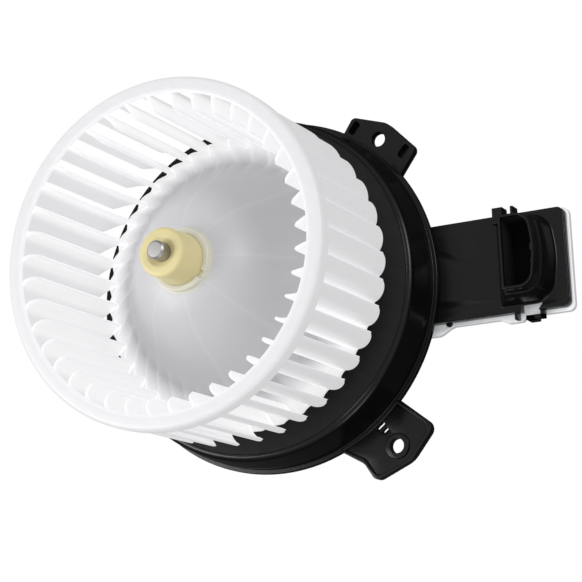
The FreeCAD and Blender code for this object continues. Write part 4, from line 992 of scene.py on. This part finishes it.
def post(radius, bore, z, at):
    """Bored round post with rounded ends."""
    low, high = z
    loop = rounded([(bore, low, 0.1), (radius, low, 0.3), (radius, high, 0.3), (bore, high, 0.1)], steps=3)
    return moved(turned(loop, POST_STEPS), at)


def flange_parts():
    """Turned flange with its ribs, three ears and the posts for the screws."""
    under = PLATEAU_Z - HOUSING_WALL / 2
    parts = [turned(flange_loop()), around(flange_rib(), RIB_COUNT, 180.0 / RIB_COUNT)]
    parts += [ear_with_recesses(EAR_SHALLOW), ear_with_dish(EAR_DEEP), ear_with_recesses(EAR_REAR)]
    parts += [post(ARM_BOSS_RADIUS, SCREW_RADIUS, (ARM_TOP_Z, under), at) for at in ARM_SCREW_PLACES]
    for i in range(COVER_EAR_COUNT):
        at = polar(COVER_EAR_REACH, COVER_EAR_START_DEG + 360.0 * i / COVER_EAR_COUNT)
        parts.append(post(COVER_EAR_RADIUS, SCREW_RADIUS, (COVER_FRONT_Z, under), at))
    return parts


# Controller arm and plug socket

def socket_loop(grow, z):
    """D outline: flat towards the motor, bowed on the far side, with round far corners. The values of grow
    are how far the near side, the far side and the ends stand off the plug's mouth."""
    near = SOCKET_NEAR_X - grow[0]
    far = SOCKET_FAR_X + grow[1]
    half = SOCKET_HALF_Y + grow[2]
    corner = SOCKET_CORNER + grow[2]
    turn_x = far - SOCKET_BOW - corner
    turn_y = half - corner
    turn = np.linspace(0, np.pi / 2, SOCKET_CORNER_STEPS)
    arc_x = turn_x + corner * np.sin(turn)
    arc_y = turn_y + corner * np.cos(turn)
    bow_y = np.linspace(-1, 1, SOCKET_BOW_STEPS + 2)[1:-1] * turn_y
    bow_x = far - SOCKET_BOW * (bow_y / turn_y) ** 2
    side_x = np.linspace(near + SOCKET_NEAR_BEVEL, turn_x, SOCKET_SIDE_STEPS + 1)[:-1]
    side_y = np.full(SOCKET_SIDE_STEPS, half)
    near_y = np.linspace(half - SOCKET_NEAR_BEVEL, SOCKET_NEAR_BEVEL - half, SOCKET_NEAR_STEPS)
    near_x = np.full(SOCKET_NEAR_STEPS, near)
    x = np.concatenate([side_x, arc_x, bow_x, arc_x[::-1], side_x[::-1], near_x])
    y = np.concatenate([-side_y, -arc_y, bow_y, arc_y[::-1], side_y, near_y])
    return np.column_stack([x, y, np.full(len(x), z)])


def between(low, high, share):
    """Values a share of the way from the low ones to the high ones."""
    return tuple(a + (b - a) * share for a, b in zip(low, high))


def socket_tower():
    """Skin of D outlines: outside from the foot over the skirt, the drafted wall, the step and the thin
    rim, then down the inside to the floor."""
    skirt_z = ARM_TOP_Z + SOCKET_SKIRT_HEIGHT
    base, skirt, step, rim = SOCKET_BASE_GROW, SOCKET_SKIRT_GROW, SOCKET_STEP_GROW, SOCKET_RIM_GROW
    rows = [(base, ARM_TOP_Z - SOCKET_FOOT_DEPTH), (base, ARM_TOP_Z)]
    for share in SOCKET_SKIRT_SHARES:
        z = ARM_TOP_Z + SOCKET_SKIRT_HEIGHT * share ** 2
        rows.append((between(base, skirt, 1 - (1 - share) ** 2), z))
    for share in SOCKET_WALL_SHARES:
        rows.append((between(skirt, step, share), skirt_z + (SOCKET_STEP_Z - skirt_z) * share))
    for share, rise in SOCKET_STEP_SHARES:
        rows.append((between(step, rim, share), SOCKET_STEP_Z + rise))
    rows.append((rim, SOCKET_RIM_Z - SOCKET_RIM_DEPTH))
    for share, rise in SOCKET_RIM_ARC:
        rows.append((between(SOCKET_MOUTH, rim, share), SOCKET_RIM_Z + rise))
    rows.append((SOCKET_MOUTH, SOCKET_RIM_Z - SOCKET_RIM_DEPTH))
    rows.append((SOCKET_MOUTH, SOCKET_FLOOR_Z + SOCKET_FLOOR_ROUND))
    rows.append((SOCKET_FLOOR_GROW, SOCKET_FLOOR_Z))
    return lofted([socket_loop(grow, z) for grow, z in rows])


def arm_outline():
    """Outline of the arm's flat top, with a notch in its side where the snap prong stands."""
    low, high = ARM_SIDE_Y
    corner = ARM_CORNER_ROUND
    start, end = ARM_NOTCH_X
    inner = low + ARM_NOTCH_DEPTH
    return rounded([
        (ARM_START_X, low), (start, low), (start, inner, ARM_INNER_CORNER), (end, inner, ARM_INNER_CORNER),
        (end - ARM_NOTCH_LEAN, low), (ARM_END_X, low, corner), (ARM_END_X, high, corner),
        (ARM_START_X, high),
    ], steps=6)


def pocket_outline():
    """Hollow in the arm's underside, which goes round the notch."""
    start, end = ARM_POCKET_X
    notch_start, notch_end = ARM_NOTCH_X[0] - ARM_WALL, ARM_NOTCH_X[1] + ARM_WALL
    low, high = ARM_SIDE_Y[0] + ARM_WALL, ARM_SIDE_Y[1] - ARM_WALL
    notch_y = low + ARM_NOTCH_DEPTH
    corners = [
        (start, low), (notch_start, low), (notch_start, notch_y), (notch_end, notch_y),
        (notch_end, low), (end, low), (end, high), (start, high),
    ]
    return rounded([(*corner, ARM_INNER_CORNER) for corner in corners], steps=3)


def screw_drills():
    """Outlines of the holes for the two arm screws."""
    return [ring(SCREW_RADIUS + SCREW_HOLE_GAP, at) for at in ARM_SCREW_PLACES]


def clip_boxes():
    """Snap prong, its hook and the fins beside it, as spans of x, y and z."""
    arm_y = ARM_SIDE_Y[0] + SIDE_JOIN_DEPTH
    bottom = ARM_TOP_Z - ARM_THICKNESS
    roof_z = ARM_TOP_Z - ARM_ROOF
    inner_y = SOCKET_HALF_Y + SOCKET_STEP_GROW[2] - SIDE_JOIN_DEPTH
    inner = PLATE_SIDE_Y[0] - PART_GAP
    outer = inner - CLIP_THICK
    under = bottom - PLATE_THICKNESS - PART_GAP
    upper_z = (bottom + PART_GAP, CLIP_TOP_Z)
    start, end = CLIP_X
    hook_x = (start, start + CLIP_HOOK_LENGTH)
    return [
        ((start, end), (outer, inner), upper_z),
        ((end - CLIP_ROOT_LENGTH, end), (outer, arm_y), upper_z),
        (hook_x, (outer, inner), (under - CLIP_HOOK_HEIGHT, CLIP_TOP_Z)),
        (hook_x, (outer, inner + CLIP_THICK), (under - CLIP_HOOK_HEIGHT, under)),
        (CLIP_FIN_X, (CLIP_FIN_Y, arm_y), (bottom + PART_GAP, ARM_TOP_Z)),
        (CODING_TAB[:2], (inner_y, CODING_TAB[2]), (roof_z, CODING_TOP_Z)),
        (CODING_RIB[:2], (inner_y, CODING_RIB[2]), (roof_z, CODING_TOP_Z)),
    ]


def arm_parts():
    """Roof and side walls of the arm, the prongs and coding marks, the peg and the socket tower."""
    bottom = ARM_TOP_Z - ARM_THICKNESS
    roof_z = ARM_TOP_Z - ARM_ROOF
    outline = arm_outline()
    drills = screw_drills()
    parts = [
        slab(outline, drills, (roof_z, ARM_TOP_Z), ARM_TOP_EDGE),
        slab(outline, [pocket_outline(), *drills], (bottom, roof_z + JOIN_DEPTH), ARM_SIDE_EDGE),
    ]
    parts += [slab(rectangle(x, y), [], z, ARM_FINE_EDGE) for x, y, z in clip_boxes()]
    parts.append(post(PEG_RADIUS, PEG_BORE, (PEG_END_Z, bottom + JOIN_DEPTH), PEG_AT))
    return parts + [socket_tower()]


def plate_parts():
    """Light alloy plate below the arm, with its flare, its lobe and the fins on its underside."""
    top = ARM_TOP_Z - ARM_THICKNESS
    bottom = top - PLATE_THICKNESS
    low, high = PLATE_SIDE_Y
    flare_start, flare_end = PLATE_FLARE_X
    lobe_start, lobe_end = PLATE_LOBE_X
    lean_in, lean_out = PLATE_LOBE_LEANS
    outline = rounded([
        (PLATE_START_X, PLATE_FLARE_Y, 4.0), (flare_start, PLATE_FLARE_Y, 4.0), (flare_end, low, 3.0),
        (lobe_start, low, 2.0), (lobe_start + lean_in, PLATE_LOBE_Y, 3.0),
        (lobe_end - lean_out, PLATE_LOBE_Y, 1.5), (lobe_end, low, 0.5),
        (PLATE_END_X, low, 3.0), (PLATE_END_X, high, 3.0), (PLATE_START_X, high, 3.0),
    ], steps=6)
    drills = [*screw_drills(), ring(PEG_RADIUS + PEG_GAP, PEG_AT)]
    parts = [slab(outline, drills, (bottom, top), PLATE_EDGE)]
    first = (low + high) / 2 - FIN_PITCH * (FIN_COUNT - 1) / 2
    half = FIN_THICKNESS / 2
    for i in range(FIN_COUNT):
        y = first + FIN_PITCH * i
        fin = rectangle(FIN_X, (y - half, y + half))
        parts.append(slab(fin, [], (bottom - FIN_HEIGHT, bottom + JOIN_DEPTH), FIN_EDGE))
    return parts


# The visible pieces

wheel = [around(blade(), BLADE_COUNT, FIRST_BLADE_DEG), wheel_ring(), *wheel_disc()]
wheel.append(around(disc_rib(), DISC_RIB_COUNT))
piece("wheel", wheel, "rotor", "wheel_plastic", ["fan_wheel"])
piece("bush", [turned(bush_loop(), BUSH_STEPS)], "rotor", "bush_nylon", ["hub_bush"])
piece("shaft", [turned(shaft_loop(), SHAFT_STEPS)], "rotor", "shaft_steel", ["motor_shaft"])
piece("flange", flange_parts(), "housing", "black_plastic", ["flange_housing"])
piece("arm", arm_parts(), "housing", "black_plastic", ["controller_housing"])
piece("plate", plate_parts(), "housing", "light_alloy", ["heat_sink"])


# Floor, light and camera

FLOOR_HALF = 6.0
FLOOR_GAP = 0.0005
LIGHT_TARGET = (0.0, 0.0, 0.05)
LIGHTS = {
    "key": ((-1.1, -0.3, 1.1), 0.9, 18.0),
    "fill": ((1.1, 0.5, 0.9), 0.5, 7.0),
    "low": ((0.6, -1.2, 0.5), 0.4, 3.0),
}
SKY_HEIGHTS = (0.1, 0.8)
SKY_STRENGTHS = (0.14, 0.8)
CAMERA_AT = (0.4040, -0.2063, 0.7955)
CAMERA_RIGHT = (0.8911, -0.0388, -0.4522)
CAMERA_BACK = (0.4327, -0.2276, 0.8723)
SENSOR_WIDTH = 36.0
FOCAL_PIXELS = 2000.0
IMAGE_WIDTH = 582.0


def floor_material():
    """White to the camera and dark grey to every other ray, so that the floor throws no light up. From
    below it is clear."""
    material, tree, shader = new_material("pale_floor")
    shader.inputs["Base Color"].default_value = (0.03, 0.03, 0.03, 1)
    shader.inputs["Roughness"].default_value = 0.9
    from_camera = tree.nodes.new("ShaderNodeLightPath").outputs["Is Camera Ray"]
    from_below = tree.nodes.new("ShaderNodeNewGeometry").outputs["Backfacing"]
    glow = tree.nodes.new("ShaderNodeEmission").outputs["Emission"]
    clear = tree.nodes.new("ShaderNodeBsdfTransparent").outputs["BSDF"]
    surface = shader.outputs["BSDF"]
    for share, other in ((from_camera, glow), (from_below, clear)):
        choice = tree.nodes.new("ShaderNodeMixShader")
        for socket, output in zip(choice.inputs, (share, surface, other)):
            tree.links.new(output, socket)
        surface = choice.outputs["Shader"]
    tree.links.new(surface, tree.nodes["Material Output"].inputs["Surface"])
    return material


def add_floor():
    low = cad_box[0][2] - FLOOR_GAP
    corners = [(-FLOOR_HALF, -FLOOR_HALF), (FLOOR_HALF, -FLOOR_HALF), (FLOOR_HALF, FLOOR_HALF),
               (-FLOOR_HALF, FLOOR_HALF)]
    mesh = bpy.data.meshes.new("floor")
    mesh.from_pydata([(x, y, low) for x, y in corners], [], [(0, 1, 2, 3)])
    mesh.materials.append(floor_material())
    floor = bpy.data.objects.new("floor", mesh)
    bpy.context.collection.objects.link(floor)


def add_light(name, place, size, power):
    """Square soft box that faces the wheel."""
    light = bpy.data.lights.new(name, "AREA")
    light.size = size
    light.energy = power
    lamp = bpy.data.objects.new(name, light)
    lamp.location = place
    aim = Vector(LIGHT_TARGET) - Vector(place)
    lamp.rotation_euler = aim.to_track_quat("-Z", "Y").to_euler()
    bpy.context.collection.objects.link(lamp)


def add_camera():
    """Camera at the photograph's place. Its back axis is kept as measured, and the other two are squared
    to it."""
    data = bpy.data.cameras.new("camera")
    data.sensor_width = SENSOR_WIDTH
    data.lens = SENSOR_WIDTH * FOCAL_PIXELS / IMAGE_WIDTH
    camera = bpy.data.objects.new("camera", data)
    back = Vector(CAMERA_BACK).normalized()
    up = back.cross(Vector(CAMERA_RIGHT).normalized()).normalized()
    right = up.cross(back)
    turn = Matrix((right, up, back)).transposed().to_4x4()
    camera.matrix_world = Matrix.Translation(Vector(CAMERA_AT)) @ turn
    bpy.context.collection.objects.link(camera)
    bpy.context.scene.camera = camera


def add_sky():
    """White studio light that grows from low down to high up."""
    world = bpy.data.worlds.new("studio")
    world.use_nodes = True
    sky = world.node_tree
    background = sky.nodes["Background"]
    background.inputs["Color"].default_value = (1, 1, 1, 1)
    height = axes(sky, sky.nodes.new("ShaderNodeTexCoord").outputs["Generated"])["Z"]
    strength = ranged(sky, height, *SKY_HEIGHTS, *SKY_STRENGTHS)
    sky.links.new(strength, background.inputs["Strength"])
    bpy.context.scene.world = world


add_floor()
for name, (place, size, power) in LIGHTS.items():
    add_light(name, place, size, power)
add_camera()
add_sky()
bpy.context.scene.view_settings.view_transform = "Standard"
